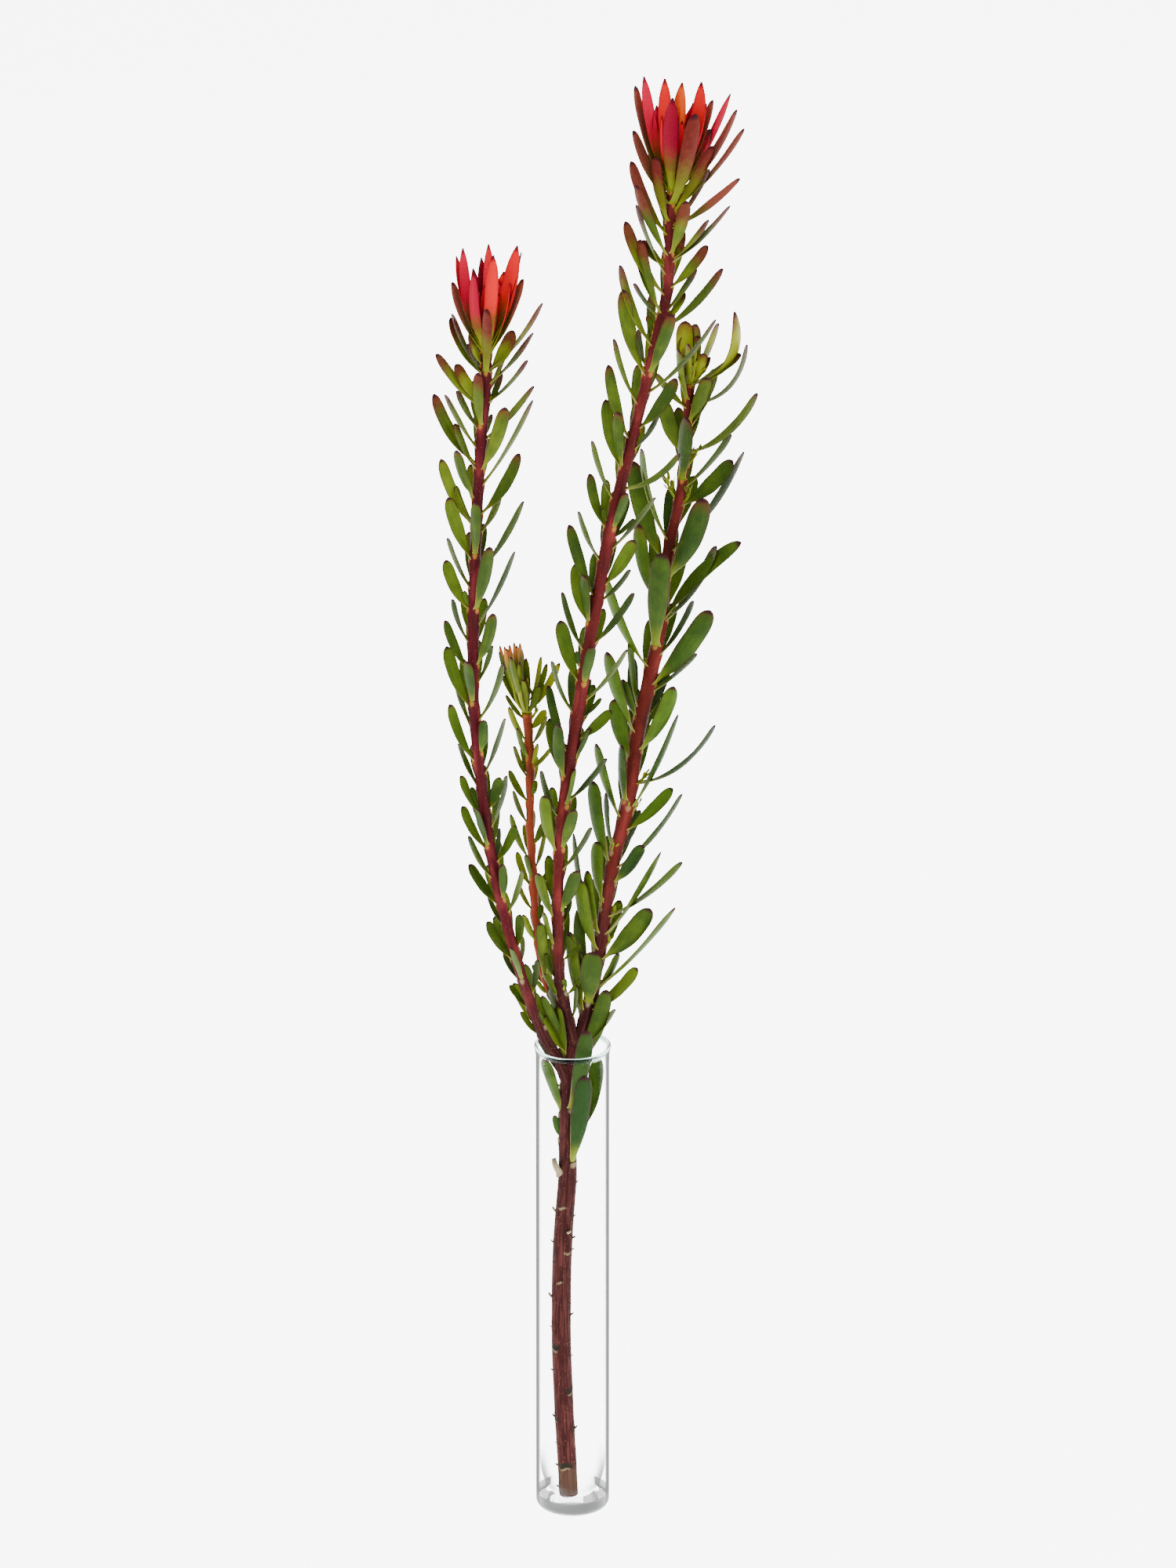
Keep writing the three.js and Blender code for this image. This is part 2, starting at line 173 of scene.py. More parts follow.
LEAVES_CENTRE = (
    (324, 812, 238, 6.4, -1.2), (333, 930, 264, 3.1, 0.1), (349, 812, 263, 2.0, 0.2),
    (321, 875, 258, 8.2, -1), (330, 903, 282, 2.6, 0.7), (335, 870, 309, 4.1, 1), (340, 820, 308, 6.1, 1),
    (375, 798, 284, 7.6, -0.2), (398, 817, 307, 7.0, -0.7), (398, 811, 312, 6.6, 0.4),
    (441, 791, 340, 6.0, 0.2), (405, 809, 363, 2.0, 0.5), (478, 795, 371, 9.7, -0.4),
    (470, 814, 422, 4.1, 0.7), (425, 826, 404, 3.6, 0.9), (515, 783, 434, 3.6, 0.2),
    (560, 776, 467, 7.7, -0.3), (598, 773, 511, 8.2, 0.3), (595, 789, 527, 7.7, -0.8),
    (473, 857, 402, 8.7, -0.9), (365, 902, 315, 7.0, -0.6), (418, 921, 344, 5.6, -0.2),
    (395, 888, 345, 4.1, 0.9), (410, 873, 375, 5.1, 1), (500, 912, 409, 2.0, 0.2),
    (545, 862, 484, 8.7, -0.8), (572, 840, 532, 3.1, -0.7), (622, 866, 580, 4.6, 0.1, None, None, 0.15),
    (637, 755, 564, 3.6, 0.2), (675, 752, 606, 6.6, -0.2), (670, 770, 650, 2.0, -0.7),
    (715, 738, 654, 2.6, 0.3), (670, 798, 630, 6.1, -1), (760, 726, 671, 7.7, -0.2),
    (700, 835, 636, 3.1, 0.2), (745, 808, 690, 9.0, -0.5), (685, 808, 663, 1.3, 0.3),
    (765, 803, 728, 3.6, 0.3), (795, 735, 720, 9.0, 0.7), (793, 745, 735, 6.1, -0.8),
    (830, 717, 757, 4.1, -0.2), (870, 715, 793, 9.7, 0.2), (820, 808, 758, 5.1, -0.3),
    (855, 736, 832, 3.1, -0.8), (868, 755, 826, 7.2, -1), (910, 704, 845, 1.5, 0.2),
    (893, 799, 830, 3.1, 0.3), (900, 753, 868, 2.0, 0.9), (960, 699, 876, 6.1, -0.2),
    (990, 701, 918, 7.2, 0.4), (990, 713, 925, 7.7, -0.9), (942, 779, 908, 7.2, -0.3),
    (915, 766, 892, 2.0, 0.6), (968, 752, 930, 3.1, -0.7), (1020, 773, 969, 4.1, 0.2),
    (1042, 690, 985, 4.1, 0.2), (1025, 733, 982, 2.6, -0.8), (1085, 695, 1016, 8.2, -0.3),
    (1080, 732, 1034, 7.7, -1), (1108, 754, 1057, 3.6, 0.2), (1162, 735, 1112, 8.7, -0.9),
    (1170, 687, 1115, 6.6, -0.2), (1205, 694, 1165, 3.6, -0.6), (1248, 697, 1218, 3.6, 0.3),
    (1270, 696, 1243, 4.1, -0.3), (1265, 719, 1250, 4.1, -1), (1182, 728, 1148, 1.5, 0.6),
    (1270, 742, 1248, 1.5, 0.3), (1225, 741, 1205, 3.1, 0.3), (1300, 735, 1258, 3.0, 0.4),
    (1310, 700, 1262, 4.0, 0.4),
)

LEAVES_RIGHT = (
    (478, 936, 399, 5.6, 0.1, None, 0.9, 0.25), (468, 916, 414, 4.0, 0.5, None, 1.0),
    (490, 944, 453, 5.6, -0.2), (515, 952, 441, 3.2, 0.2, None, None, 0.2),
    (484, 874, 411, 11.6, 0.5, None, 0.9), (482, 888, 415, 8.4, 0.8, None, 0.45),
    (482, 890, 430, 5.0, 0.3), (490, 897, 452, 7.2, -0.5), (488, 905, 457, 4.0, -0.2),
    (486, 878, 440, 5.0, -0.6), (535, 902, 483, 9.2, -0.9), (545, 913, 472, 7.2, 0.5),
    (520, 836, 478, 5.1, 0.3), (580, 845, 512, 10.2, 0.5), (610, 876, 534, 9.2, -1),
    (577, 965, 503, 5.6, -0.2, None, None, 0.12), (620, 932, 556, 4.1, 0.3),
    (643, 933, 588, 10.2, -0.4, None, 0.3), (700, 948, 578, 4.1, 0.2),
    (735, 897, 637, 14.3, -0.8, None, 0.15), (687, 818, 574, 4.6, 0.5), (715, 808, 590, 12.3, 0.3),
    (770, 815, 670, 9.2, -0.3), (822, 845, 707, 13.8, -1), (790, 913, 698, 6.1, 0.4),
    (788, 944, 693, 9.2, -0.3, None, 0.45, -0.06), (833, 884, 768, 4.1, 0.6),
    (870, 905, 780, 13.3, -0.4, None, 0.25), (880, 888, 835, 2.0, 0.6), (903, 803, 817, 4.6, 0.7),
    (850, 772, 735, 6.1, 0.2), (933, 775, 833, 8.2, -0.2), (915, 795, 868, 6.1, -0.7),
    (968, 785, 893, 11.2, 0.7), (955, 858, 877, 10.2, -0.4), (915, 853, 848, 7.2, 0.9),
    (1028, 864, 913, 3.6, 0.2), (998, 911, 926, 2.6, 0.1, None, None, 0.12), (1020, 793, 952, 5.6, -0.8),
    (1043, 761, 950, 5.6, -0.2), (1100, 757, 998, 9.2, 0.3), (1080, 773, 1013, 2.6, -0.7),
    (1057, 857, 1007, 7.7, -0.3), (1105, 869, 1014, 2.0, 0.2), (1090, 816, 1035, 5.1, 0.9),
    (1125, 818, 1079, 8.7, -0.8), (1190, 842, 1088, 3.1, 0.2), (1167, 869, 1101, 4.1, 0.1),
    (1150, 762, 1075, 8.2, 0.3), (1190, 750, 1112, 7.2, -0.2), (1210, 740, 1123, 9.2, -0.6),
    (1190, 732, 1065, 2.6, 0.4), (1240, 724, 1193, 3.1, 0.2), (1270, 738, 1160, 8.2, 0.9),
    (1222, 828, 1160, 12.3, -0.4), (1258, 860, 1159, 3.1, 0.2), (1278, 757, 1216, 14.3, -1, None, 0.1),
    (1285, 812, 1236, 8.0, 0.2), (1262, 788, 1217, 5.1, 0.8), (1290, 727, 1190, 8.6, 0.8),
    (1300, 742, 1216, 6.0, 0.9), (500, 872, 430, 8.0, 0.9), (508, 866, 448, 5.0, -0.3),
    (560, 893, 500, 8.0, 0.9),
)

LEAVES_MOUTH = (
    (1358, 773, 1264, 10.8, -0.5, None, 0.2), (1340, 784, 1289, 2.6, 0.3),
    (1412, 748, 1316, 11.0, -2.2, None, -0.1), (1481, 746, 1374, 12.2, -1.2, None, -0.3, 0.0),
    (1452, 708, 1424, 4.6, -0.8), (1452, 763, 1349, 10.2, 0.2, None, 0.45),
    (1420, 694, 1352, 7.2, -0.3, None, 0.3, 0.02), (1345, 681, 1268, 7.4, -0.4, None, 0.7),
    (1343, 695, 1297, 6.4, -1.2, None, 0.9), (1350, 712, 1284, 6.4, -0.5, None, 0.4),
    (1368, 715, 1338, 6.0, -1.2, None, 0.9), (1382, 687, 1328, 5.6, -0.5, None, 0.5, -0.05),
    (1386, 699, 1352, 2.6, -0.6, None, 0.2, 0.2),
)

BRACTS_LEFT = (
    (440, 591, 320, 7.4, -0.1, 1.0, 0.4), (437, 583, 330, 5.8, -0.1, 0.9, 0.5),
    (436, 614, 332, 6.4, 1, 0.85, 0.0), (436, 623, 315, 7.0, 0.8, 0.95, 0.5),
    (438, 629, 329, 9.0, -0.6, 1.0, 0.68), (438, 659, 317, 9.8, 0.1, 1.0, 0.6),
    (438, 664, 325, 2.6, 0.5, 0.6, 0.0), (450, 666, 359, 5.2, -0.2, 0.3, 1.1),
    (472, 621, 397, 6.8, -2.0, 0.1), (444, 605, 351, 7.2, -0.8, 0.8, 0.2),
    (448, 578, 363, 5.2, -0.2, 0.4, 1.1), (446, 586, 365, 3.2, 0.3, 0.4, 1.0),
    (440, 642, 350, 7.5, 1, 0.9, 0.7), (440, 604, 346, 7.0, 1, 0.9, 0.1), (444, 654, 362, 6.0, 1, 0.5),
    (444, 593, 352, 6.0, 1, 0.5),
)

BRACTS_CENTRE = (
    (236, 822, 101, 7.8, -0.1, 1.0, 0.4), (234, 848, 104, 9.2, 0.5, 0.95, 0.72),
    (232, 870, 109, 9.2, 0.8, 0.95, 1.0), (234, 894, 108, 9.4, 0.3, 1.0, 0.62),
    (242, 858, 128, 10.2, -0.9, 1.0, 0.05), (258, 886, 148, 10.0, -1.6, 0.15),
    (244, 811, 113, 5.4, -0.2, 0.5, 1.1), (238, 827, 134, 5.4, 0.9, 0.6, 0.0),
    (240, 908, 131, 5.4, 0.7, 0.5, 1.0), (246, 930, 123, 5.2, -0.1, 0.9, 0.3),
    (250, 938, 143, 4.6, 0.1, 0.5, 1.1), (264, 947, 167, 3.6, 0.1, 0.35, 1.1),
    (268, 907, 189, 7.2, -1.4, 0.1), (290, 941, 230, 4.8, -0.2, 0.15, 1.1),
    (258, 809, 170, 6.2, -0.4, 0.25, 1.0), (298, 806, 209, 7.0, -0.4, 0.2, 0.9),
    (280, 837, 203, 7.0, -2.0, 0.1), (286, 903, 219, 3.0, 0.6, 0.3), (240, 838, 138, 7.5, 1, 0.9, 0.2),
    (240, 880, 142, 7.5, 1, 0.9, 0.5), (244, 862, 150, 7.0, 1, 0.9, 0.0), (246, 905, 168, 6.0, 1, 0.5),
    (246, 826, 172, 6.0, 1, 0.5),
)

# Small side shoots: the picture height of the foot, the picture place of the tip, how many leaves, how
# long they are in millimetres, how ripe, and which way the shoot leans
Shoot = namedtuple("Shoot", "foot_y tip_x tip_y leaves long ripe lean")

SHOOTS_SHORT = (
    (904, 655, 866, 10, 7.5, 0.0, -0.4), (905, 673, 872, 6, 9.5, 0.25, 0.2),
    (914, 667, 908, 4, 4.0, 0.0, -0.6), (918, 685, 903, 6, 5.0, 0.0, -0.4),
)

SHOOTS_RIGHT = (
    (486, 886, 458, 10, 9.0, 0.1, -0.7), (488, 900, 466, 7, 7.0, 0.35, -0.3),
    (500, 866, 470, 6, 7.0, 0.1, -0.4), (480, 874, 452, 7, 8.0, 0.2, 0.3),
    (592, 889, 576, 6, 6.5, 0.1, -0.4), (636, 850, 612, 7, 9.0, 0.0, -0.2),
    (640, 880, 622, 5, 6.0, 0.0, -0.5), (998, 826, 988, 6, 6.0, 0.0, -0.3),
    (1027, 803, 1018, 5, 5.0, 0.0, -0.8), (1034, 814, 1024, 5, 5.0, 0.0, -0.4),
    (1086, 784, 1074, 5, 6.0, 0.0, -0.7), (1158, 769, 1146, 5, 5.5, 0.0, -0.5),
    (1172, 786, 1160, 5, 6.0, 0.0, -0.4), (1206, 779, 1197, 5, 5.0, 0.0, -0.3),
)

# How each blade is shaped: widths are shares of its full width, thickness is in millimetres
Shape = namedtuple("Shape", "neck flare widest point roundness thickness gutter")
LEAF = Shape(0.38, 0.58, 0.71, 0.0, 2.7, 0.95, 0.2)
YOUNG_LEAF = Shape(0.42, 0.6, 0.66, 0.0, 2.7, 0.8, 0.22)
BRACT = Shape(0.46, 0.6, 0.66, 0.7, 6.0, 0.9, 0.26)
BUD = Shape(0.8, 0.9, 0.45, 0.3, 2.4, 9.0, 0.1)
OUTER_BRACT = Shape(0.42, 0.6, 0.7, 0.0, 2.8, 1.0, 0.24)

# How each kind of blade grows: its stem, rows and shape, its usual width in millimetres, how far its tip
# spreads as a share of its length, where its red tip starts along its length and how yellow-green it is at
# each picture height, and the frame's nodes and finish that it takes over
Kind = namedtuple("Kind", "stem rows shape width spread flush youth replaces slot")
KINDS = {
    "leaves_left": Kind(
        "branch_left", LEAVES_LEFT, LEAF, 8.8, 0.42,
        ((400, 0.32), (470, 0.46), (560, 0.66), (700, 0.82), (1300, 0.92)),
        ((400, 0.8), (520, 0.6), (700, 0.3), (1000, 0.1), (1300, 0.3)), "leaf_left", "green_leaf",
    ),
    "leaves_short": Kind(
        "branch_short", LEAVES_SHORT, YOUNG_LEAF, 5.2, 0.45,
        ((880, 0.84), (1270, 0.92)), ((900, 1.0), (1000, 0.7), (1270, 0.4)), "leaf_short", "young_leaf",
    ),
    "leaves_centre": Kind(
        "branch_centre", LEAVES_CENTRE, LEAF, 9.4, 0.42,
        ((260, 0.34), (330, 0.46), (420, 0.62), (560, 0.8), (1300, 0.93)),
        ((300, 0.75), (420, 0.45), (600, 0.22), (1000, 0.15), (1300, 0.4)), "leaf_centre", "green_leaf",
    ),
    "leaves_right": Kind(
        "branch_right", LEAVES_RIGHT, LEAF, 11.5, 0.42,
        ((410, 0.5), (520, 0.78), (1300, 0.95)),
        ((480, 0.95), (540, 0.5), (620, 0.15), (1100, 0.05), (1300, 0.3)), "leaf_right", "green_leaf",
    ),
    "leaves_mouth": Kind(
        "main_stem", LEAVES_MOUTH, LEAF, 11.5, 0.25,
        ((1200, 0.96), (1500, 0.97)), ((1340, 0.3), (1480, 0.0)), "leaf_mouth", "green_leaf",
    ),
    "bracts_left": Kind(
        "branch_left", BRACTS_LEFT, BRACT, 8.4, 0.26,
        ((300, 0.86), (460, 0.8)), ((300, 1.0), (460, 1.0)), "bract_left", "red_bract",
    ),
    "bracts_centre": Kind(
        "branch_centre", BRACTS_CENTRE, BRACT, 9.6, 0.26,
        ((100, 0.86), (290, 0.8)), ((100, 1.0), (290, 1.0)), "bract_centre", "red_bract",
    ),
}

# Torn leaf bases on the bare stem: picture height of the foot, side in degrees (180 left, -90 towards the
# viewer), length and width in millimetres, how steeply it rises, and how pale it is from 0 to 1
Stub = namedtuple("Stub", "foot_y side long wide rise pale")
STUBS = (
    (1493, -150, 12.0, 6.4, 2.0, 1.0), (1546, 175, 4.2, 2.4, 1.0, 0.8), (1585, 180, 3.0, 2.2, 0.8, 0.6),
    (1654, 185, 4.4, 3.4, 1.2, 0.8), (1692, 180, 2.4, 1.8, 0.5, 0.3), (1747, 182, 2.6, 2.0, 0.6, 0.7),
    (1806, 185, 3.4, 2.6, 0.9, 0.2), (1840, 180, 2.0, 1.6, 0.6, 0.5), (1868, 182, 2.6, 3.0, 0.6, 0.3),
    (1896, 178, 3.0, 2.6, 0.6, 0.8), (1460, -20, 3.4, 2.2, 1.6, 0.9), (1507, -15, 3.0, 1.8, 1.0, 0.4),
    (1550, -10, 2.6, 2.0, 0.9, 0.6), (1568, -60, 4.6, 2.8, 0.8, 0.9), (1577, -12, 3.2, 2.6, 0.5, 0.0),
    (1593, -8, 2.8, 1.8, 0.7, 0.8), (1677, 0, 3.0, 2.4, 0.7, 0.3), (1730, 5, 2.0, 1.6, 0.6, 0.5),
    (1822, -5, 3.4, 2.6, 0.8, 0.3), (1640, 75, 4.0, 2.4, 1.0, 0.7), (1705, 95, 3.6, 2.2, 0.8, 0.4),
    (1785, 60, 3.2, 2.2, 0.7, 0.5), (1860, 110, 3.4, 2.4, 0.8, 0.6),
)

SPIRAL = math.radians(137.5)

# How far back a leaf's tip may reach, so that the plant stays in the frame's box
BACK_LIMIT = CAD_BOX[1][1] + 6 * MM


def unit(vectors):
    """Vectors along the last axis, each made one long."""
    return vectors / np.linalg.norm(vectors, axis=-1, keepdims=True)


def smooth(values, start, end):
    """0 before start, 1 after end and an even curve between them."""
    share = np.clip((values - start) / (end - start), 0, 1)
    return share * share * (3 - 2 * share)


def hump(values, width, power=2):
    """1 at zero, falling off evenly on both sides."""
    return np.exp(-((values / width) ** power))


def level_at(rows, place):
    """The value at a place, between rows of place and value."""
    return np.interp(place, *zip(*rows))


def full_turn(count):
    """Evenly spaced angles round a circle."""
    return np.linspace(0, 2 * math.pi, count, endpoint=False)


def flat_ring(count):
    """Points of a level circle with a radius of one."""
    turns = full_turn(count)
    return np.stack((np.cos(turns), np.sin(turns), np.zeros_like(turns)), axis=1)


def picture_of(points):
    """Where points in metres are seen, in pixels."""
    offset = points - EYE
    distance = offset @ FORWARD
    seen_x = PHOTO_WIDTH / 2 + FOCAL_PIXELS * (offset @ RIGHTWARD) / distance
    seen_y = PHOTO_HEIGHT / 2 - FOCAL_PIXELS * (offset @ UPWARD) / distance
    return seen_x, seen_y


def point_behind(seen_x, seen_y, depth):
    """The point that is seen at a pixel and lies at that depth along Y."""
    ray = FORWARD + RIGHTWARD * (seen_x - PHOTO_WIDTH / 2) / FOCAL_PIXELS
    ray = ray + UPWARD * (PHOTO_HEIGHT / 2 - seen_y) / FOCAL_PIXELS
    return EYE + ray * ((depth - EYE[1]) / ray[1])


class Route:
    """A stem's centreline and radius, sampled closely along a smooth curve through its rows."""

    SAMPLES = 40

    def __init__(self, rows):
        rows = np.array(rows, float) * MM
        points = rows[:, :3]
        chords = np.diff(points, axis=0)
        knots = np.concatenate(([0], np.cumsum(np.sqrt(np.linalg.norm(chords, axis=1)))))
        slopes = chords / np.diff(knots)[:, None]
        spans = (points[2:] - points[:-2]) / (knots[2:] - knots[:-2])[:, None]
        leans = np.vstack((slopes[:1], slopes[:-1] + slopes[1:] - spans, slopes[-1:]))
        share = np.linspace(0, 1, self.SAMPLES, endpoint=False)[:, None]
        stretches = []
        for index, step in enumerate(np.diff(knots)):
            start = (2 * share**3 - 3 * share**2 + 1) * points[index]
            start = start + (share**3 - 2 * share**2 + share) * step * leans[index]
            end = (3 * share**2 - 2 * share**3) * points[index + 1]
            end = end + (share**3 - share**2) * step * leans[index + 1]
            stretches.append(start + end)
        self.points = np.vstack((*stretches, points[-1:]))
        steps = np.linalg.norm(np.diff(self.points, axis=0), axis=1)
        self.run = np.concatenate(([0], np.cumsum(steps)))
        self.tangents = unit(np.gradient(self.points, self.run, axis=0))
        places = np.arange(len(self.points)) / self.SAMPLES
        self.radii = np.interp(places, np.arange(len(rows)), rows[:, 3])
        self.length = self.run[-1]
        self.seen_y = picture_of(self.points)[1]

    def at(self, run):
        """Centre, direction and radius at one or more distances along the stem."""
        centre = np.stack([np.interp(run, self.run, column) for column in self.points.T], axis=-1)
        along = np.stack([np.interp(run, self.run, column) for column in self.tangents.T], axis=-1)
        return centre, unit(along), np.interp(run, self.run, self.radii)

    def run_seen_at(self, seen_y):
        """The distance along the stem that is seen at a picture height."""
        return float(np.interp(-seen_y, -self.seen_y, self.run))


def cross_frame(along):
    """Two directions across a stem: the first as near +X as it can be, the second to its left."""
    across = unit(RIGHTWARD - along * (along @ RIGHTWARD)[..., None])
    return across, np.cross(along, across)


def way_out(along, angle):
    """The direction away from a stem at an angle round it."""
    across, around = cross_frame(along)
    return across * math.cos(angle) + around * math.sin(angle)


def ring_points(centre, along, reach, turns):
    """Points round a row of centres; the reach is one for each ring or one for each point."""
    across, around = cross_frame(along)
    ring = np.cos(turns)[None, :, None] * across[:, None] + np.sin(turns)[None, :, None] * around[:, None]
    return (centre[:, None] + ring * reach[..., None]).reshape(-1, 3)


class Pile:
    """Points, faces and numbers per point, gathered for one mesh."""

    def __init__(self):
        self.points = []
        self.faces = []
        self.marks = {}
        self.count = 0

    def add(self, points, faces, **marks):
        """Adds one closed form; a mark is one value for it all, or one for each of its points."""
        self.points.append(points)
        self.faces.extend([corner + self.count for corner in face] for face in faces)
        for name, values in marks.items():
            whole = np.broadcast_to(values, (len(points), *np.shape(values)[1:]))
            self.marks.setdefault(name, []).append(whole)
        self.count += len(points)

    def build(self, name, material, body="root"):
        """Turns the pile into one smooth object that rides on the frame."""
        mesh = bpy.data.meshes.new(name)
        mesh.from_pydata(np.vstack(self.points), [], self.faces)
        for mark, values in self.marks.items():
            values = np.concatenate(values)
            vector = values.ndim > 1
            layer = mesh.attributes.new(mark, "FLOAT_VECTOR" if vector else "FLOAT", "POINT")
            layer.data.foreach_set("vector" if vector else "value", values.astype(np.float32).ravel())
        mesh.polygons.foreach_set("use_smooth", [True] * len(mesh.polygons))
        mesh.materials.append(material)
        mesh.update()
        piece = bpy.data.objects.new(name, mesh)
        bpy.context.scene.collection.objects.link(piece)
        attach(piece, body)
        return piece


def tube_faces(rings, sides):
    """Quads round a row of rings, with a fan of one face at each end."""
    faces = []
    for ring in range(rings - 1):
        low = ring * sides
        for side in range(sides):
            turned = (side + 1) % sides
            faces.append((low + side, low + turned, low + sides + turned, low + sides + side))
    last = (rings - 1) * sides
    faces.append(tuple(reversed(range(sides))))
    faces.append(tuple(range(last, last + sides)))
    return faces


BLADE_STATIONS = 24
BLADE_SIDES = 14
BLADE_FACES = tube_faces(BLADE_STATIONS, BLADE_SIDES)

# As shares of a blade's length: the short flare at its foot, how far it goes on turning to the side that
# the photograph shows, and the reach of its thick foot and of the bead at its tip
FLARE_REACH = 0.035
TURNING_REACH = 0.28
THICK_FOOT_REACH = 0.1
BEAD_REACH = 0.04
LEAST_WIDTH = 0.15

# Where the two middle points of a blade's curve lie along it, and how many bows each one stands out
CURVE = ((0.3, 1.4), (0.68, 1.1))

# A blade shorter than this is thinner too, and a shallow groove runs along the middle of each
FULL_THICKNESS_LENGTH = 24 * MM
GROOVE_DEPTH = 0.16 * MM
GROOVE_WIDTH = 0.2


def blade_widths(shape, along):
    """Share of the full width at each place along a blade."""
    rise = shape.neck + (1 - shape.neck) * smooth(along, 0.02, shape.widest * 0.8)
    rise = rise + (shape.flare - shape.neck) * hump(along, FLARE_REACH)
    fall = np.clip((along - shape.widest) / (1 - shape.widest), 0, 1)
    narrowing = (1 - shape.point * fall**1.8) * np.sqrt(np.clip(1 - fall**shape.roundness, 0, 1))
    return np.maximum(rise * narrowing, LEAST_WIDTH)


def blade_thickness(shape, along, length):
    """Thickness along a blade: thick at its foot, thinner towards its tip, with a small bead at the end."""
    share = 0.62 + 0.45 * (1 - along) + 0.9 * hump(along, THICK_FOOT_REACH)
    share = share + 0.25 * hump(1 - along, BEAD_REACH)
    return share * shape.thickness * MM * min(1, length / FULL_THICKNESS_LENGTH)


def turned_to_view(sideways, heading, along, narrowness):
    """A blade's sideways directions, turned on its length until it looks as narrow as in the photograph.

    There are four such turns, and it takes the one nearest to its natural one.
    """
    flat = unit(np.cross(FORWARD, heading))
    deep = np.cross(heading, flat)
    turn = math.acos(min(1, narrowness))
    middle = len(along) // 2
    choices = [
        sign * (flat * math.cos(turn) + deep * math.sin(turn) * way) for sign in (1, -1) for way in (1, -1)
    ]
    wanted = max(choices, key=lambda choice: choice[middle] @ sideways[middle])
    twist = np.sum(np.cross(sideways, wanted) * heading, axis=1)
    swing = np.arctan2(twist, np.sum(sideways * wanted, axis=1)) * smooth(along, 0.0, TURNING_REACH)
    return sideways * np.cos(swing)[:, None] + np.cross(heading, sideways) * np.sin(swing)[:, None]


def add_blade(pile, foot, tip, up, out, wide, shape, dice, seen=None, bow=0.05, **marks):
    """One leaf or bract from its foot on a stem to its tip.

    up runs along the stem and out away from it. seen is how wide the blade looks in the photograph: the
    blade turns on its own length until it looks so.
    """
    chord = tip - foot
    length = np.linalg.norm(chord)
    towards = chord / length
    outward = unit(out - towards * (out @ towards))
    share = np.linspace(0, 1, BLADE_STATIONS)
    along = 0.45 * share + 0.55 * np.sin(share * math.pi / 2)
    low, high = (foot + chord * place + outward * length * bow * rise for place, rise in CURVE)
    left = 1 - along[:, None]
    gone = along[:, None]
    centre = left**3 * foot + 3 * left**2 * gone * low + 3 * left * gone**2 * high + gone**3 * tip
    heading = unit(np.gradient(centre, along, axis=0))
    natural = np.cross(up, out)
    sideways = unit(natural - heading * (heading @ natural)[:, None])
    if seen is not None:
        sideways = turned_to_view(sideways, heading, along, seen / wide)
    inner = np.cross(heading, sideways)
    turns = full_turn(BLADE_SIDES)
    across = np.cos(turns)
    half_wide = (wide * blade_widths(shape, along) / 2)[:, None]
    lift = blade_thickness(shape, along, length)[:, None] / 2 * np.sin(turns)
    lift = lift + shape.gutter * half_wide * (across**2 - 0.35)
    lift = lift - GROOVE_DEPTH * hump(across, GROOVE_WIDTH) * smooth(1 - along, 0.05, 0.3)[:, None]
    waves = np.sin(along * dice.uniform(5, 9) + dice.uniform(0, 6))[:, None]
    lift = lift + waves * across * half_wide * dice.uniform(0.02, 0.08)
    points = centre[:, None] + sideways[:, None] * (half_wide * across)[..., None]
    points = points + inner[:, None] * lift[..., None]
    pile.add(
        points.reshape(-1, 3),
        BLADE_FACES,
        along=np.repeat(along, BLADE_SIDES),
        across=np.tile(np.abs(across), BLADE_STATIONS),
        **marks,
    )


Foot = namedtuple("Foot", "run angle")

# A blade's foot sits inside its stem, at this share of the stem's radius
SEAT = 0.8

# The least that a blade leans in depth for its lean, as a share of its spread, and a shoot's spread
LEAST_DEPTH = 0.25
SHOOT_SPREAD = 0.5

# No leaf is usually wider than this share of its length, and a bract less ripe than this is an outer one
BROADEST = 0.3
OUTER_RIPE = 0.6

# A tip goes this far past its pixel, and a pointed one further, because its very end is too thin to see
PAST_TIP = 0.8 * MM
PAST_POINT = 1.4 * MM

# A blade that looks narrower than this would be lost in the light behind it
LEAST_SEEN = 3.2 * MM

# Leaves on the hidden side of a stem: how far from the back the spiral may place one, how near it then
# keeps to the back, and the room to the next foot along the stem and round it
HIDDEN_SIDE = math.radians(80)
HIDDEN_CLOSENESS = 0.45
ROOM_ALONG = 7 * MM
ROOM_ROUND = 0.7
BACK = math.pi / 2

TWIG_STATIONS = 10
TWIG_SIDES = 10
TWIG_RADII = (1.0 * MM, 0.7 * MM)

# The inner bracts stand this far below the stem's end, and none faces the viewer more than this
INNER_START = 4 * MM
INNER_FRONT = -0.2

# A bud sits this far above a leaf's foot, and the last stretch of a stem has none
BUD_HEIGHT = 2.2 * MM
BUDLESS_END = 25 * MM


def stem_foot(route, run, tip):
    """Where a blade leaves its stem on the way to its tip: place, stem direction, way out and angle."""
    centre, up, radius = route.at(run)
    out = tip - centre
    out = unit(out - up * (out @ up))
    across, around = cross_frame(up)
    return centre + out * radius * SEAT, up, out, math.atan2(out @ around, out @ across)


def seen_tip(route, run, row, spread):
    """The tip of a blade in metres, from its row: deeper or nearer than its stem by its lean."""
    centre, up, _ = route.at(run)
    level = point_behind(row.tip_x, row.tip_y, centre[1]) - centre
    reach = spread * np.linalg.norm(level)
    aside = np.linalg.norm(level - up * (level @ up))
    away = row.lean * math.sqrt(max(reach**2 - aside**2, (LEAST_DEPTH * reach) ** 2))
    return point_behind(row.tip_x, row.tip_y, min(centre[1] + away, BACK_LIMIT))


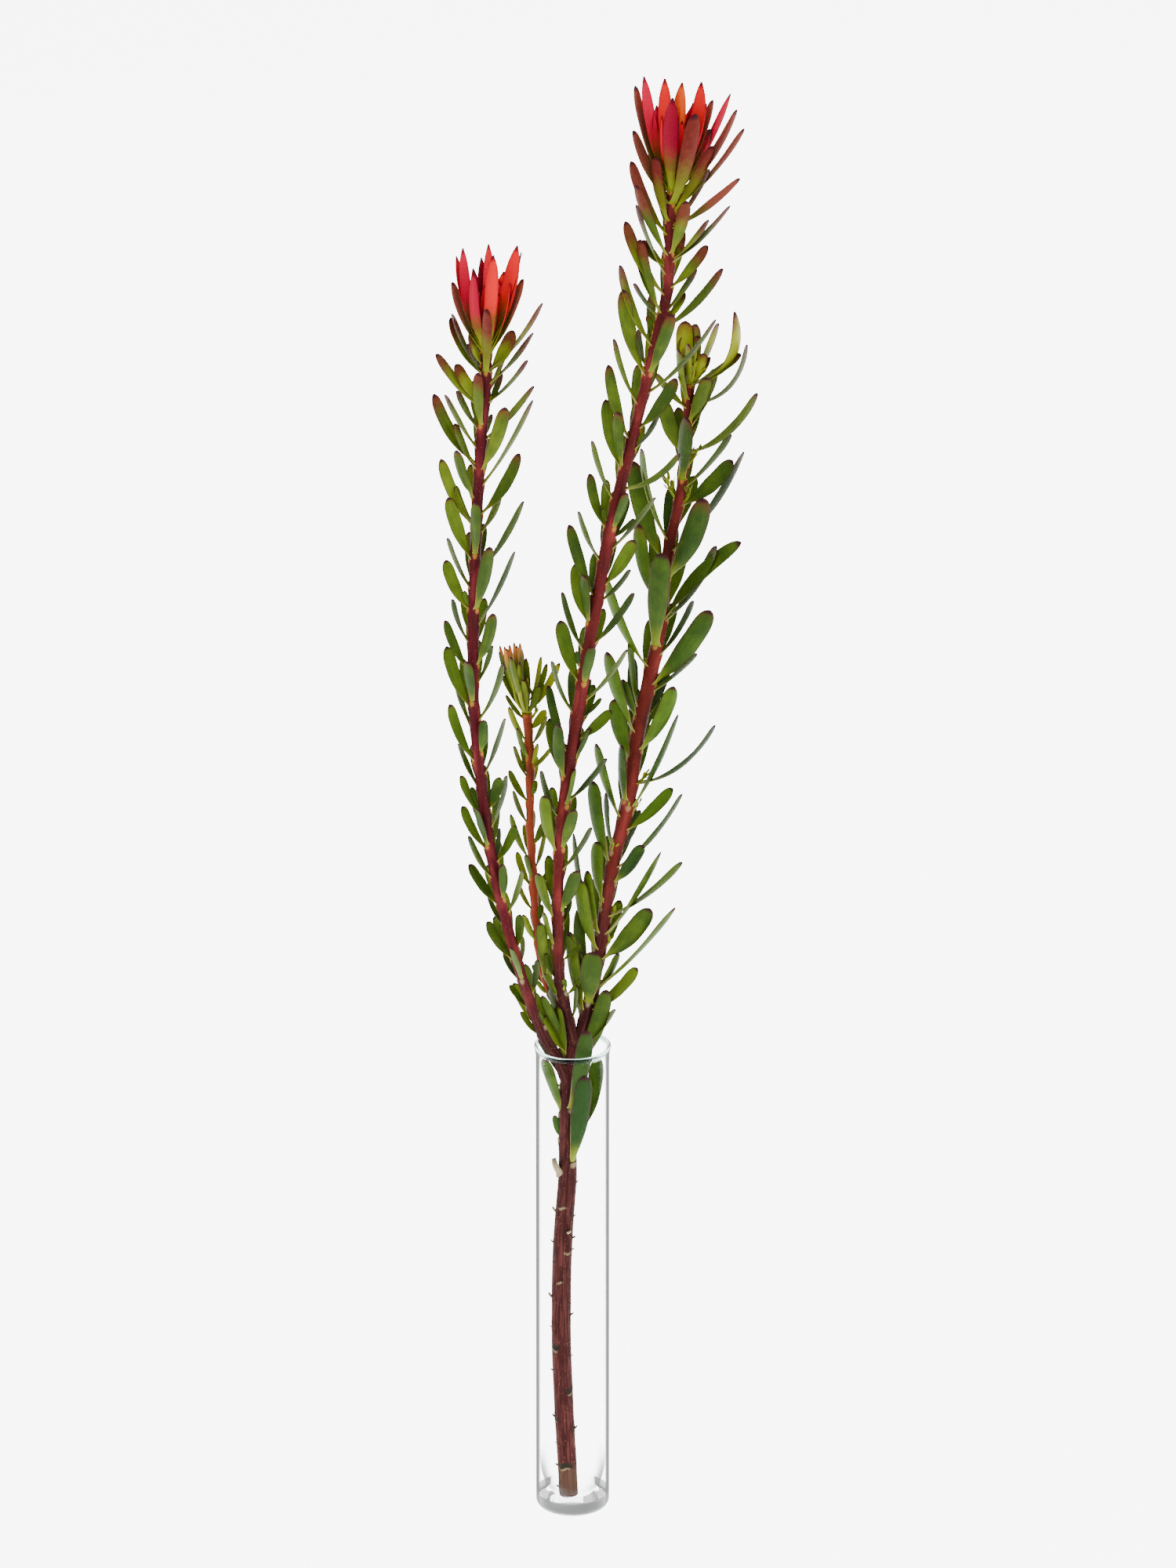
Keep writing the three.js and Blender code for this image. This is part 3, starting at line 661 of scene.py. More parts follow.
def add_seen_blades(pile, kind, route, dice, feet):
    """Every blade of one kind that the photograph shows; one with a ripeness is a bract or a red leaf."""
    for row in (Seen(*row) for row in kind.rows):
        run = route.run_seen_at(row.foot_y)
        tip = seen_tip(route, run, row, kind.spread)
        foot, up, out, angle = stem_foot(route, run, tip)
        length = np.linalg.norm(tip - foot)
        tip = tip + unit(tip - foot) * (PAST_TIP + PAST_POINT * kind.shape.point)
        green = row.ripe is None
        usual = min(kind.width * MM * dice.uniform(0.9, 1.08), length * BROADEST)
        wide = max(usual, row.wide * MM * (1.02 if green else 1.15))
        flush = level_at(kind.flush, row.foot_y) + dice.uniform(-0.05, 0.05)
        bow = row.bow + dice.uniform(-0.02, 0.02)
        shape = kind.shape if green or row.ripe >= OUTER_RIPE else OUTER_BRACT
        tone = dice.uniform(0, 0.4) if row.lean < -0.6 else dice.uniform(0.1, 0.85)
        marks = {
            "tone": tone if row.tone is None else row.tone,
            "flush": flush,
            "ripe": 0.0 if green else row.ripe,
            "youth": level_at(kind.youth, row.foot_y),
        }
        seen = max(row.wide * MM, LEAST_SEEN)
        add_blade(pile, foot, tip, up, out, wide, shape, dice, seen, bow, **marks)
        feet.append(Foot(run, angle))


def add_hidden_blades(pile, kind, route, dice, feet, runs):
    """Leaves behind the stem, which the photograph hides, where the spiral of leaves leaves room for one."""
    turn = dice.uniform(0, 2 * math.pi)
    for run in runs:
        turn += SPIRAL
        away = math.remainder(turn - BACK, 2 * math.pi)
        if abs(away) > HIDDEN_SIDE:
            continue
        angle = BACK + away * HIDDEN_CLOSENESS
        crowded = any(
            abs(foot.run - run) < ROOM_ALONG
            and abs(math.remainder(foot.angle - angle, 2 * math.pi)) < ROOM_ROUND
            for foot in feet
        )
        if crowded:
            continue
        centre, up, radius = route.at(run)
        out = way_out(up, angle)
        length = kind.width * MM * dice.uniform(3.4, 4.4)
        tip = centre + out * length * kind.spread + up * length * 0.88
        tip[1] = min(tip[1], BACK_LIMIT)
        wide = kind.width * MM * dice.uniform(0.72, 0.85)
        seen_y = np.interp(run, route.run, route.seen_y)
        flush = level_at(kind.flush, seen_y) + dice.uniform(-0.05, 0.05)
        youth = level_at(kind.youth, seen_y)
        marks = {"tone": dice.uniform(0.2, 0.9), "flush": flush, "ripe": 0.0, "youth": youth}
        foot = centre + out * radius * SEAT
        add_blade(pile, foot, tip, up, out, wide, kind.shape, dice, **marks)
        feet.append(Foot(run, angle))


def add_shoot(leaves, twigs, route, row, dice, feet):
    """A small side shoot: a thin twig that curves up from the stem, with leaves in a spiral round its end."""
    run = route.run_seen_at(row.foot_y)
    tip = seen_tip(route, run, row, SHOOT_SPREAD)
    foot, up, out, angle = stem_foot(route, run, tip)
    feet.append(Foot(run, angle))
    reach = np.linalg.norm(tip - foot)
    bend = foot + out * reach * 0.35 + up * reach * 0.3
    share = np.linspace(0, 1, TWIG_STATIONS)[:, None]
    centre = (1 - share) ** 2 * foot + 2 * share * (1 - share) * bend + share**2 * tip
    add_tube(twigs, centre, np.linspace(*TWIG_RADII, TWIG_STATIONS), TWIG_SIDES, tone=0.5, youth=1.0)
    heading = unit(tip - bend)
    begin = 0.3 if row.ripe < 0.5 else 0.84
    for index in range(row.leaves):
        place = (index + 0.5) / row.leaves
        aside = way_out(heading, index * SPIRAL + row.foot_y)
        start = foot + (tip - foot) * (begin + (1 - begin) * place) + aside * 0.4 * MM
        length = row.long * MM * (1.0 - 0.2 * place) * dice.uniform(0.85, 1.15)
        opening = (0.8 + 0.4 * row.ripe) * (1 - 0.75 * place)
        end = start + unit(heading + aside * opening) * length
        wide = length * dice.uniform(0.32, 0.42) * (1 - 0.35 * row.ripe)
        flush = 0.85 - 0.3 * row.ripe
        marks = {"tone": dice.uniform(0.3, 0.8), "flush": flush, "ripe": row.ripe, "youth": 1.0}
        add_blade(leaves, start, end, heading, aside, wide, YOUNG_LEAF, dice, bow=0.1, **marks)


def add_inner_bracts(pile, kind, route, dice, top_y, count):
    """The short bracts in the middle and at the back of a head, close round the stem's end."""
    centre, up, radius = route.at(route.length - INNER_START)
    full = np.linalg.norm(point_behind(picture_of(centre)[0], top_y, centre[1]) - centre)
    for index in range(count):
        place = (index + 0.5) / count
        out = way_out(up, index * SPIRAL)
        if out @ FORWARD < INNER_FRONT:
            continue
        length = full * (0.94 - 0.3 * place) * dice.uniform(0.92, 1.04)
        foot = centre + out * radius * (0.9 - 0.6 * place)
        tip = foot + unit(up + out * (0.24 - 0.16 * place)) * length
        wide = kind.width * MM * (0.85 - 0.3 * place)
        marks = {"tone": dice.uniform(0, 0.8), "flush": 0.9, "ripe": 1.0, "youth": 1.0}
        add_blade(pile, foot, tip, up, out, wide, BRACT, dice, bow=0.06, **marks)


def add_buds(pile, route, feet, dice, share):
    """Tiny buds just above some of the leaf feet."""
    for foot in feet:
        if foot.run > route.length - BUDLESS_END or dice.random() > share:
            continue
        centre, up, radius = route.at(foot.run + BUD_HEIGHT)
        out = way_out(up, foot.angle + dice.uniform(-0.2, 0.2))
        start = centre + out * radius * 0.9
        length = dice.uniform(2.4, 4.6) * MM
        tip = start + unit(up + out * dice.uniform(0.25, 0.6)) * length
        wide = length * dice.uniform(0.5, 0.62)
        marks = {"tone": 0.7, "flush": 0.8, "ripe": dice.uniform(0, 0.6), "youth": 0.7}
        add_blade(pile, start, tip, up, out, wide, BUD, dice, bow=0.12, **marks)


def add_stubs(pile, route, rows, dice):
    """Torn leaf bases and buds on the bare stem, at the heights and sides where the photograph shows them."""
    for row in (Stub(*row) for row in rows):
        centre, up, radius = route.at(route.run_seen_at(row.foot_y))
        out = way_out(up, math.radians(row.side))
        start = centre + out * radius * 0.92
        tip = start + unit(up * row.rise + out) * row.long * MM
        add_blade(pile, start, tip, up, out, row.wide * MM, BUD, dice, bow=0.1, tone=row.pale)


def add_tube(pile, centre, radii, sides, **marks):
    """A plain round tube along a row of centres."""
    along = unit(np.gradient(centre, axis=0))
    points = ring_points(centre, along, radii[:, None], full_turn(sides))
    pile.add(points, tube_faces(len(centre), sides), **marks)


STEM_STEP = 1.1 * MM
STEM_SIDES = 28
STEM_WAVES = 4

# The skin stands this far outside the frame's stem, so that its light edge isn't lost in the picture
SKIN = 0.35 * MM

# How high a stem's waves, cushions, ridges and scars stand, and how deep a scar's slit is
WAVE = 0.09 * MM
CUSHION = 0.85 * MM
RIDGE = 0.18 * MM
RIDGE_LENGTH = 30 * MM
SCAR = 0.45 * MM
SLIT = 0.5 * MM
COLLAR_LENGTH = 7 * MM


def turned_from(turns, angle):
    """How far each angle round a stem is from one of them, to either side."""
    return np.remainder(turns - angle + math.pi, 2 * math.pi) - math.pi


def add_stem(pile, route, feet, dice, age, warm, collar=0.0, scars=()):
    """A stem with a cushion below each leaf, ridges that run down from it, and old scars."""
    runs = np.arange(0, route.length, STEM_STEP)
    centre, along, radii = route.at(runs)
    turns = full_turn(STEM_SIDES)
    swell = np.zeros((len(runs), STEM_SIDES))
    pad = np.zeros_like(swell)
    streak = np.zeros_like(swell)
    slit = np.zeros_like(swell)
    for index in range(STEM_WAVES):
        wave = np.sin((index + 1) * turns + dice.uniform(0, 6) + runs[:, None] * dice.uniform(40, 160))
        swell += wave * WAVE / (index + 1)
    for foot in feet:
        below = foot.run - runs[:, None]
        aside = turned_from(turns, foot.angle)
        seat = hump(aside, 0.6) * hump(below, np.where(below > 0, 5.5 * MM, 1.3 * MM))
        ridge = hump(aside, 0.32) * np.where(below > 0, np.clip(1 - below / RIDGE_LENGTH, 0, 1), 0)
        core = hump(aside, 0.62) * hump(below, np.where(below > 0, 4.2 * MM, 1.8 * MM))
        swell = np.maximum(swell, seat * CUSHION) + ridge * RIDGE
        pad = np.maximum(pad, core)
        streak = np.maximum(streak, ridge)
    for run, angle, wide, dark in scars:
        above = runs[:, None] - run + 0.8 * MM * np.sin(turns * 5)
        reach = hump(turned_from(turns, angle), wide, 4)
        swell += reach * hump(above, 3.2 * MM) * SCAR
        swell -= reach * hump(above, 1.1 * MM) * SLIT
        pad = np.maximum(pad, reach * 0.75 * hump(above + 2.4 * MM, 2.0 * MM))
        slit = np.maximum(slit, dark * reach * hump(above, 1.9 * MM))
    radii = radii * (1 + collar * np.exp(-runs / COLLAR_LENGTH)) + SKIN
    points = ring_points(centre, along, radii[:, None] + swell, turns)
    skin = np.empty((*swell.shape, 3))
    skin[..., 0] = np.cos(turns) * radii[:, None]
    skin[..., 1] = np.sin(turns) * radii[:, None]
    skin[..., 2] = runs[:, None]
    ages = level_at(age, centre[:, 2])
    pile.add(
        points,
        tube_faces(len(runs), STEM_SIDES),
        skin=skin.reshape(-1, 3),
        pad=pad.ravel(),
        streak=streak.ravel(),
        slit=slit.ravel(),
        age=np.repeat(ages, STEM_SIDES),
        warm=warm,
    )


class Value:
    """A shader socket that can be used in a Python expression; each step adds its Math node."""

    def __init__(self, graph, socket):
        self.graph = graph
        self.socket = socket

    def _math(self, operation, *values):
        return self.graph.node("ShaderNodeMath", {"operation": operation}, dict(enumerate(values)))

    def __add__(self, other):
        return self._math("ADD", self, other)

    def __sub__(self, other):
        return self._math("SUBTRACT", self, other)

    def __rsub__(self, other):
        return self._math("SUBTRACT", other, self)

    def __mul__(self, other):
        return self._math("MULTIPLY", self, other)

    def __pow__(self, other):
        return self._math("POWER", self, other)

    __radd__ = __add__
    __rmul__ = __mul__


class Graph:
    """The node tree of one material, made one node at a time."""

    def __init__(self, name):
        self.material = bpy.data.materials.new(name)
        self.material.use_nodes = True
        self.tree = self.material.node_tree
        self.tree.nodes.clear()

    def node(self, kind, settings=None, sockets=None, output=0):
        """Adds a node: its settings first, then the values or links of its sockets. Gives one output."""
        made = self.tree.nodes.new(kind)
        for name, value in (settings or {}).items():
            setattr(made, name, value)
        for name, value in (sockets or {}).items():
            if isinstance(value, Value):
                self.tree.links.new(value.socket, made.inputs[name])
            else:
                made.inputs[name].default_value = value
        return Value(self, made.outputs[output]) if made.outputs else made

    def place(self):
        """Where a point is on its object, in metres."""
        return self.node("ShaderNodeTexCoord", output=3)

    def mark(self, name, output=2):
        """A number that the mesh carries at each point; output 1 gives a vector."""
        return self.node("ShaderNodeAttribute", {"attribute_name": name}, output=output)

    def mix(self, share, first, second):
        """The colour that is a share of the way from the first to the second."""
        first, second = (value if isinstance(value, Value) else (*value, 1.0) for value in (first, second))
        return self.node("ShaderNodeMix", {"data_type": "RGBA"}, {0: share, 6: first, 7: second}, output=2)

    def blend(self, share, first, second):
        """The surface that is a share of the way from the first to the second."""
        return self.node("ShaderNodeMixShader", None, {0: share, 1: first, 2: second})

    def ease(self, value, start, end):
        """0 where value is below start, 1 above end, with a smooth curve between them."""
        sockets = {"Value": value, "From Min": start, "From Max": end}
        return self.node("ShaderNodeMapRange", {"interpolation_type": "SMOOTHSTEP"}, sockets)

    def noise(self, place, scale, detail=3.0):
        """Soft noise from 0 to 1 at a place."""
        return self.node("ShaderNodeTexNoise", None, {"Vector": place, "Scale": scale, "Detail": detail})

    def stretched(self, place, factors):
        """A place with each of its three sides scaled."""
        return self.node("ShaderNodeVectorMath", {"operation": "MULTIPLY"}, {0: place, 1: factors})

    def bump(self, height, strength, depth):
        """A normal that follows a height."""
        sockets = {"Strength": strength, "Distance": depth, "Height": height}
        return self.node("ShaderNodeBump", None, sockets)

    def finish(self, surface):
        """Closes the tree with its surface shader."""
        self.node("ShaderNodeOutputMaterial", None, {"Surface": surface})
        return self.material

    def finish_skin(self, colour, roughness, gloss, normal):
        """Closes the tree with an opaque skin; gloss is how strongly it mirrors."""
        sockets = {"Base Color": colour, "Roughness": roughness, "Normal": normal}
        sockets["Specular IOR Level"] = gloss
        return self.finish(self.node("ShaderNodeBsdfPrincipled", None, sockets))


def blade_graph(name):
    """A graph for leaves or bracts with what both read: place along and across, noise and veins."""
    graph = Graph(name)
    along = graph.mark("along")
    across = graph.mark("across")
    mottle = graph.noise(graph.place(), 260.0)
    sides = {0: across * 9.0, 1: along * 1.4, 2: graph.mark("tone") * 40.0}
    veins = graph.noise(graph.node("ShaderNodeCombineXYZ", None, sides), 1.6, 2.0)
    return graph, along, across, mottle, veins


def leaf_material(name, colours):
    """Leathery leaf: yellow-green foot, green blade, maroon from a mark upwards, pale rim with a dark end."""
    graph, along, across, mottle, veins = blade_graph(name)
    ripe = graph.mark("ripe")
    cloud = graph.noise(graph.place(), 75.0, 1.0)
    lightness = graph.mark("tone") * 0.7 + mottle * 0.25 + veins * 0.4 + cloud * 0.5 - 0.47
    depth = graph.ease(lightness, 0.05, 0.95)
    grown = graph.mix(depth, colours.leaf_dark, colours.leaf_light)
    fresh = graph.mix(depth, colours.young_dark, colours.young_light)
    green = graph.mix(graph.mark("youth"), grown, fresh)
    foot = 1 - graph.ease(along + mottle * 0.1, 0.04, 0.36)
    green = graph.mix(foot * 0.8, green, colours.leaf_foot)
    midrib = 1 - graph.ease(across, 0.02, 0.13)
    green = graph.mix(midrib * 0.28, green, colours.leaf_foot)
    flush = graph.ease(along + mottle * 0.16 + across * 0.1 - 0.13 - graph.mark("flush"), 0.0, 0.3)
    red = graph.mix(mottle, colours.flush, colours.flush_dark)
    colour = graph.mix(flush * 0.9, green, red)
    reddened = ripe * graph.ease(along - graph.mark("flush"), -0.24, 0.16)
    colour = graph.mix(reddened, colour, colours.young_red)
    rim = graph.mix(graph.ease(along + mottle * 0.2, 0.2, 0.6), colours.leaf_edge, colours.rim_dark)
    colour = graph.mix(graph.ease(across, 0.82, 0.95) * 0.65, colour, rim)
    callus = graph.ease(along, 0.93, 0.98)
    colour = graph.mix(callus * 0.9, colour, colours.callus)
    relief = graph.bump(veins * 0.7 + mottle * 0.5, 0.35, 0.4 * MM)
    return graph.finish_skin(colour, 0.4 + mottle * 0.18, 0.04, relief)


def bract_material(name, colours):
    """Bract of a red head: olive foot, crimson to orange or maroon blade by ripeness, dark rim and point."""
    graph, along, across, mottle, veins = blade_graph(name)
    tone = graph.mark("tone") + veins * 0.16 - 0.08
    ripe = graph.mark("ripe")
    coral = graph.mix(graph.ease(tone, 0.05, 0.35), colours.bract_crimson, colours.bract_pink)
    coral = graph.mix(graph.ease(tone, 0.4, 0.6), coral, colours.bract_red)
    coral = graph.mix(graph.ease(tone, 0.7, 0.95), coral, colours.bract_orange)
    coral = graph.mix(graph.ease(across, 0.5, 1.0) * 0.35, coral, colours.bract_crimson)
    shade = 1 - graph.ease(along + mottle * 0.24, 0.4, 0.68)
    coral = graph.mix(shade * 0.94, coral, colours.bract_shade)
    maroon = graph.mix(mottle, colours.flush, colours.flush_dark)
    maroon = graph.mix(graph.ease(tone, 0.8, 1.0), maroon, colours.bract_brown)
    late = 0.2 - graph.ease(ripe, 0.08, 0.14) * 0.2
    turning = graph.ease(along + mottle * 0.24 + across * 0.08 - late, 0.42, 0.8)
    outer = graph.mix(turning, colours.bract_foot, maroon)
    colour = graph.mix(graph.ease(ripe, 0.5, 0.85), outer, coral)
    foot = 1 - graph.ease(along + mottle * 0.14, 0.12, 0.42)
    colour = graph.mix(foot * 0.9, colour, colours.leaf_foot)
    rim = graph.ease(across, 0.86, 0.97) * graph.ease(along, 0.2, 0.5)
    colour = graph.mix(rim * 0.3, colour, colours.rim_dark)
    point = graph.ease(along, 0.92, 0.98)
    colour = graph.mix(point * 0.85, colour, colours.callus)
    relief = graph.bump(veins * 0.8 + mottle * 0.4, 0.35, 0.4 * MM)
    return graph.finish_skin(colour, 0.42 + mottle * 0.16, 0.02, relief)


def torn_material(name, colours):
    """Dry torn leaf base: pale tan to nearly black, with rough dark spots."""
    graph = Graph(name)
    grain = graph.noise(graph.place(), 900.0)
    dry = graph.mix(graph.mark("tone") + grain * 0.5 - 0.25, colours.slit, colours.torn)
    colour = graph.mix(graph.ease(graph.mark("along"), 0.6, 1.0) * 0.5, dry, colours.slit)
    return graph.finish_skin(colour, 0.7 + grain * 0.2, 0.1, graph.bump(grain, 0.6, 0.4 * MM))


def stem_material(name, colours):
    """Stem skin: burgundy with pale streaks and dots, pale pads under the leaves, brown bark with age."""
    graph = Graph(name)
    skin = graph.mark("skin", output=1)
    pad = graph.mark("pad")
    age = graph.mark("age")
    streaks = graph.noise(graph.stretched(skin, (900.0, 900.0, 55.0)), 1.0, 4.0)
    blotches = graph.noise(graph.stretched(skin, (160.0, 160.0, 60.0)), 1.0, 3.0)
    spread = graph.stretched(skin, (700.0, 700.0, 260.0))
    dots = graph.node("ShaderNodeTexVoronoi", None, {"Vector": spread, "Scale": 1.0})
    patches = graph.noise(graph.stretched(skin, (90.0, 90.0, 32.0)), 1.0, 2.0)
    young = graph.mix(graph.mark("warm") * 0.95, colours.stem_red, colours.stem_orange)
    young = graph.mix(graph.ease(patches, 0.5, 0.66) * 0.32, young, colours.stem_glow)
    young = graph.mix((1 - graph.ease(patches, 0.34, 0.48)) * 0.5, young, colours.bark_dark)
    bright = graph.ease(streaks * 0.6 + blotches * 0.4 + graph.mark("streak") * 0.16, 0.55, 0.78)
    young = graph.mix(bright * 0.55, young, colours.stem_light)
    pale = graph.ease(streaks * 0.7 + blotches * 0.3, 0.42, 0.66)
    old = graph.mix(pale, colours.bark_dark, colours.bark_light)
    uneven = age + blotches * 0.3 - 0.15
    colour = graph.mix(graph.ease(uneven, 0.25, 0.75), young, old)
    freckle = 1 - graph.ease(dots, 0.08, 0.17)
    colour = graph.mix(freckle * 0.35, colour, colours.lenticel)
    colour = graph.mix(graph.ease(uneven, 1.05, 1.4) * 0.6, colour, colours.bark_grey)
    cushion = graph.ease(pad + streaks * 0.3 - 0.15, 0.45, 0.9)
    dry = graph.mix(graph.ease(age, 0.1, 0.5), colours.pad, colours.torn)
    colour = graph.mix(cushion * 0.8, colour, dry)
    slit = graph.ease(graph.mark("slit") + streaks * 0.5 - 0.25, 0.15, 0.5)
    colour = graph.mix(slit * 0.95, colour, colours.slit)
    relief = graph.bump(streaks * 0.8 + freckle * 0.3, 0.5, 0.5 * MM)
    return graph.finish_skin(colour, 0.5 + age * 0.18 + streaks * 0.12, 0.03, relief)


# Keeps the power below from dividing by nothing where the glass is seen from straight above
JUST_OVER_ONE = 1.01


def glass_material(name, sizes):
    """Clear glass: solid foot and greenish lip, joined by a thin wall that bends nothing seen through it.

    Where the wall or the bowl inside the foot is seen edge-on, a painted grey shade stands in for the dark
    lines and crescents that refraction gives, and the glass lets the lamps through.
    sidelong says how far a wall turns away to the side, whatever the height it is seen from.
    """
    graph = Graph(name)
    tint = tuple(sizes.tint)
    place = graph.place()
    height = graph.node("ShaderNodeSeparateXYZ", None, {0: place}, output=2)
    outer = graph.mark("outer")
    aslant = graph.node("ShaderNodeLayerWeight", None, {"Blend": 0.5}, output=1)
    upward = graph.node("ShaderNodeCombineXYZ", None, {2: 1.0})
    level = graph.node("ShaderNodeLayerWeight", None, {"Blend": 0.5, "Normal": upward}, output=1)
    sidelong = 1 - (1 - aslant) * (JUST_OVER_ONE - (1 - level) ** 2) ** -0.5
    ripple = graph.noise(place, 22.0, 1.0)
    bands = graph.noise(graph.stretched(place, (16.0, 16.0, 420.0)), 1.0, 2.0)
    lip = graph.ease(height, sizes.height - 4.5 * MM, sizes.height - 2.5 * MM)
    # Painted shade: grey bands in the solid foot, for the streaks that refraction shows there
    colour = graph.mix(outer * graph.ease(bands, 0.44, 0.6) * 0.9, tint, sizes.foot_band_shade_tint)
    # The lip's greenish glass colour, deepened as painted shade for the dark lines that refraction gives in
    # the bead
    colour = graph.mix(lip, colour, sizes.lip_tint_and_shade)
    solid = graph.node(
        "ShaderNodeBsdfPrincipled",
        None,
        {
            "Base Color": colour,
            "Roughness": 0.0,
            "IOR": 1.47,
            "Transmission Weight": 1.0,
            "Specular Tint": (0.06, 0.06, 0.06, 1.0),
            "Normal": graph.bump(ripple, 0.05, 0.002),
        },
    )
    clear = graph.node("ShaderNodeBsdfTransparent", None, {"Color": (*tint, 1.0)})
    gloss = graph.node("ShaderNodeBsdfGlossy", None, {"Roughness": 0.05})
    film = graph.blend(graph.ease(aslant, 0.4, 0.75) * 0.04, clear, gloss)
    thin = graph.ease(height, sizes.floor + 0.3 * MM, sizes.floor + 1.8 * MM) * (1 - lip)
    body = graph.blend(thin, solid, film)
    # Painted shade: a matt grey mixed in where the outer wall or the bowl is seen edge-on, for the dark edge
    # lines and crescents that refraction gives
    shade = graph.mix(graph.ease(height, 3 * MM, 15 * MM), sizes.foot_edge_shade_tint, sizes.edge_shade_tint)
    matt = {"Base Color": shade, "Roughness": 0.5, "Specular IOR Level": 0.0}
    grey = graph.node("ShaderNodeBsdfPrincipled", None, matt)
    bowl = graph.ease(height, sizes.floor + 3 * MM, sizes.floor + 8 * MM) * (1 - outer)
    bowl = bowl * (1 - graph.ease(height, sizes.floor + sizes.bowl * 0.4, sizes.floor + sizes.bowl * 1.1))
    rim = graph.ease(sidelong, 0.5, 0.66) * outer * 0.95 + graph.ease(aslant, 0.25, 0.65) * bowl * 0.7
    body = graph.blend(rim, body, grey)
    lamp_ray = graph.node("ShaderNodeLightPath", output=1)
    return graph.finish(graph.blend(lamp_ray, body, clear))


# Depths between which the floor's glow sets in, and the grey of its uneven spots
GLOW_START = (-0.75, -0.13)
FLOOR_GREY = (0.7, 0.7, 0.7)


def floor_material(name, colour, glow):
    """Pale matt floor with a faint unevenness, which glows from just in front of the vase backwards."""
    graph = Graph(name)
    place = graph.place()
    depth = graph.node("ShaderNodeSeparateXYZ", None, {0: place}, output=1)
    sockets = {
        "Base Color": graph.mix(graph.noise(place, 3.0) * 0.04, colour, FLOOR_GREY),
        "Roughness": 0.9,
        "Specular IOR Level": 0.1,
        "Emission Color": graph.mix(graph.ease(depth, *GLOW_START), (0.0, 0.0, 0.0), (1.0, 1.0, 1.0)),
        "Emission Strength": glow,
    }
    return graph.finish(graph.node("ShaderNodeBsdfPrincipled", None, sockets))


def length_setting(name, description, default):
    """A length that a user may change, in metres."""
    return bpy.props.FloatProperty(
        name=name,
        description=description,
        default=default,
        min=0.0,
        precision=4,
        unit="LENGTH",
        subtype="DISTANCE",
    )


def strength_setting(name, description, default, unit="NONE"):
    """The strength of a light that a user may change."""
    return bpy.props.FloatProperty(name=name, description=description, default=default, min=0.0, unit=unit)


def colour_setting(name, description, default):
    """A colour that a user may change, in linear shares of red, green and blue."""
    return bpy.props.FloatVectorProperty(
        name=name, description=description, default=default, size=3, min=0.0, max=1.0, subtype="COLOR"
    )


VASE_LOW, VASE_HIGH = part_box("vase")


class ConebushVaseSettings(bpy.types.PropertyGroup):
    """Sizes and tint of the glass vase, and the colours of its painted edge shade, foot bands and lip."""

    height: length_setting("Height", "Height of the vase", VASE_HIGH.z)
    lip_radius: length_setting("Lip radius", "Radius at the widest of the lip", VASE_HIGH.x)
    body_radius: length_setting("Body radius", "Outer radius of the straight wall", 24 * MM)
    wall: length_setting("Wall", "Thickness of the wall", 2.1 * MM)
    lip_flare: length_setting("Lip flare", "Height over which the lip opens", 9 * MM)
    floor: length_setting("Foot thickness", "Thickness of the solid glass foot", 9.5 * MM)
    foot_radius: length_setting("Foot rounding", "Radius of the rounded outer foot", 5 * MM)
    bowl: length_setting("Bowl", "Height over which the wall thickens into the foot", 30 * MM)
    tint: colour_setting("Tint", "Colour of the glass", (0.995, 0.999, 0.997))
    # Grey of the painted bands in the foot, which stand in for refraction streaks
    foot_band_shade_tint: colour_setting("Foot tint", "Grey of the bands in the thick foot", (0.74, 0.76, 0.76))
    # Greenish colour of the lip glass, deepened as painted shade for the dark lines of refraction in the bead
    lip_tint_and_shade: colour_setting("Lip tint", "Colour of the thick lip", (0.17, 0.29, 0.26))
    # Painted shade of the wall and of the foot seen edge-on, for the dark lines that refraction gives
    edge_shade_tint: colour_setting("Edge tint", "Colour of the wall seen edge-on", (0.085, 0.09, 0.09))
    foot_edge_shade_tint: colour_setting("Foot edge tint", "Colour of the foot seen edge-on", (0.15, 0.155, 0.155))


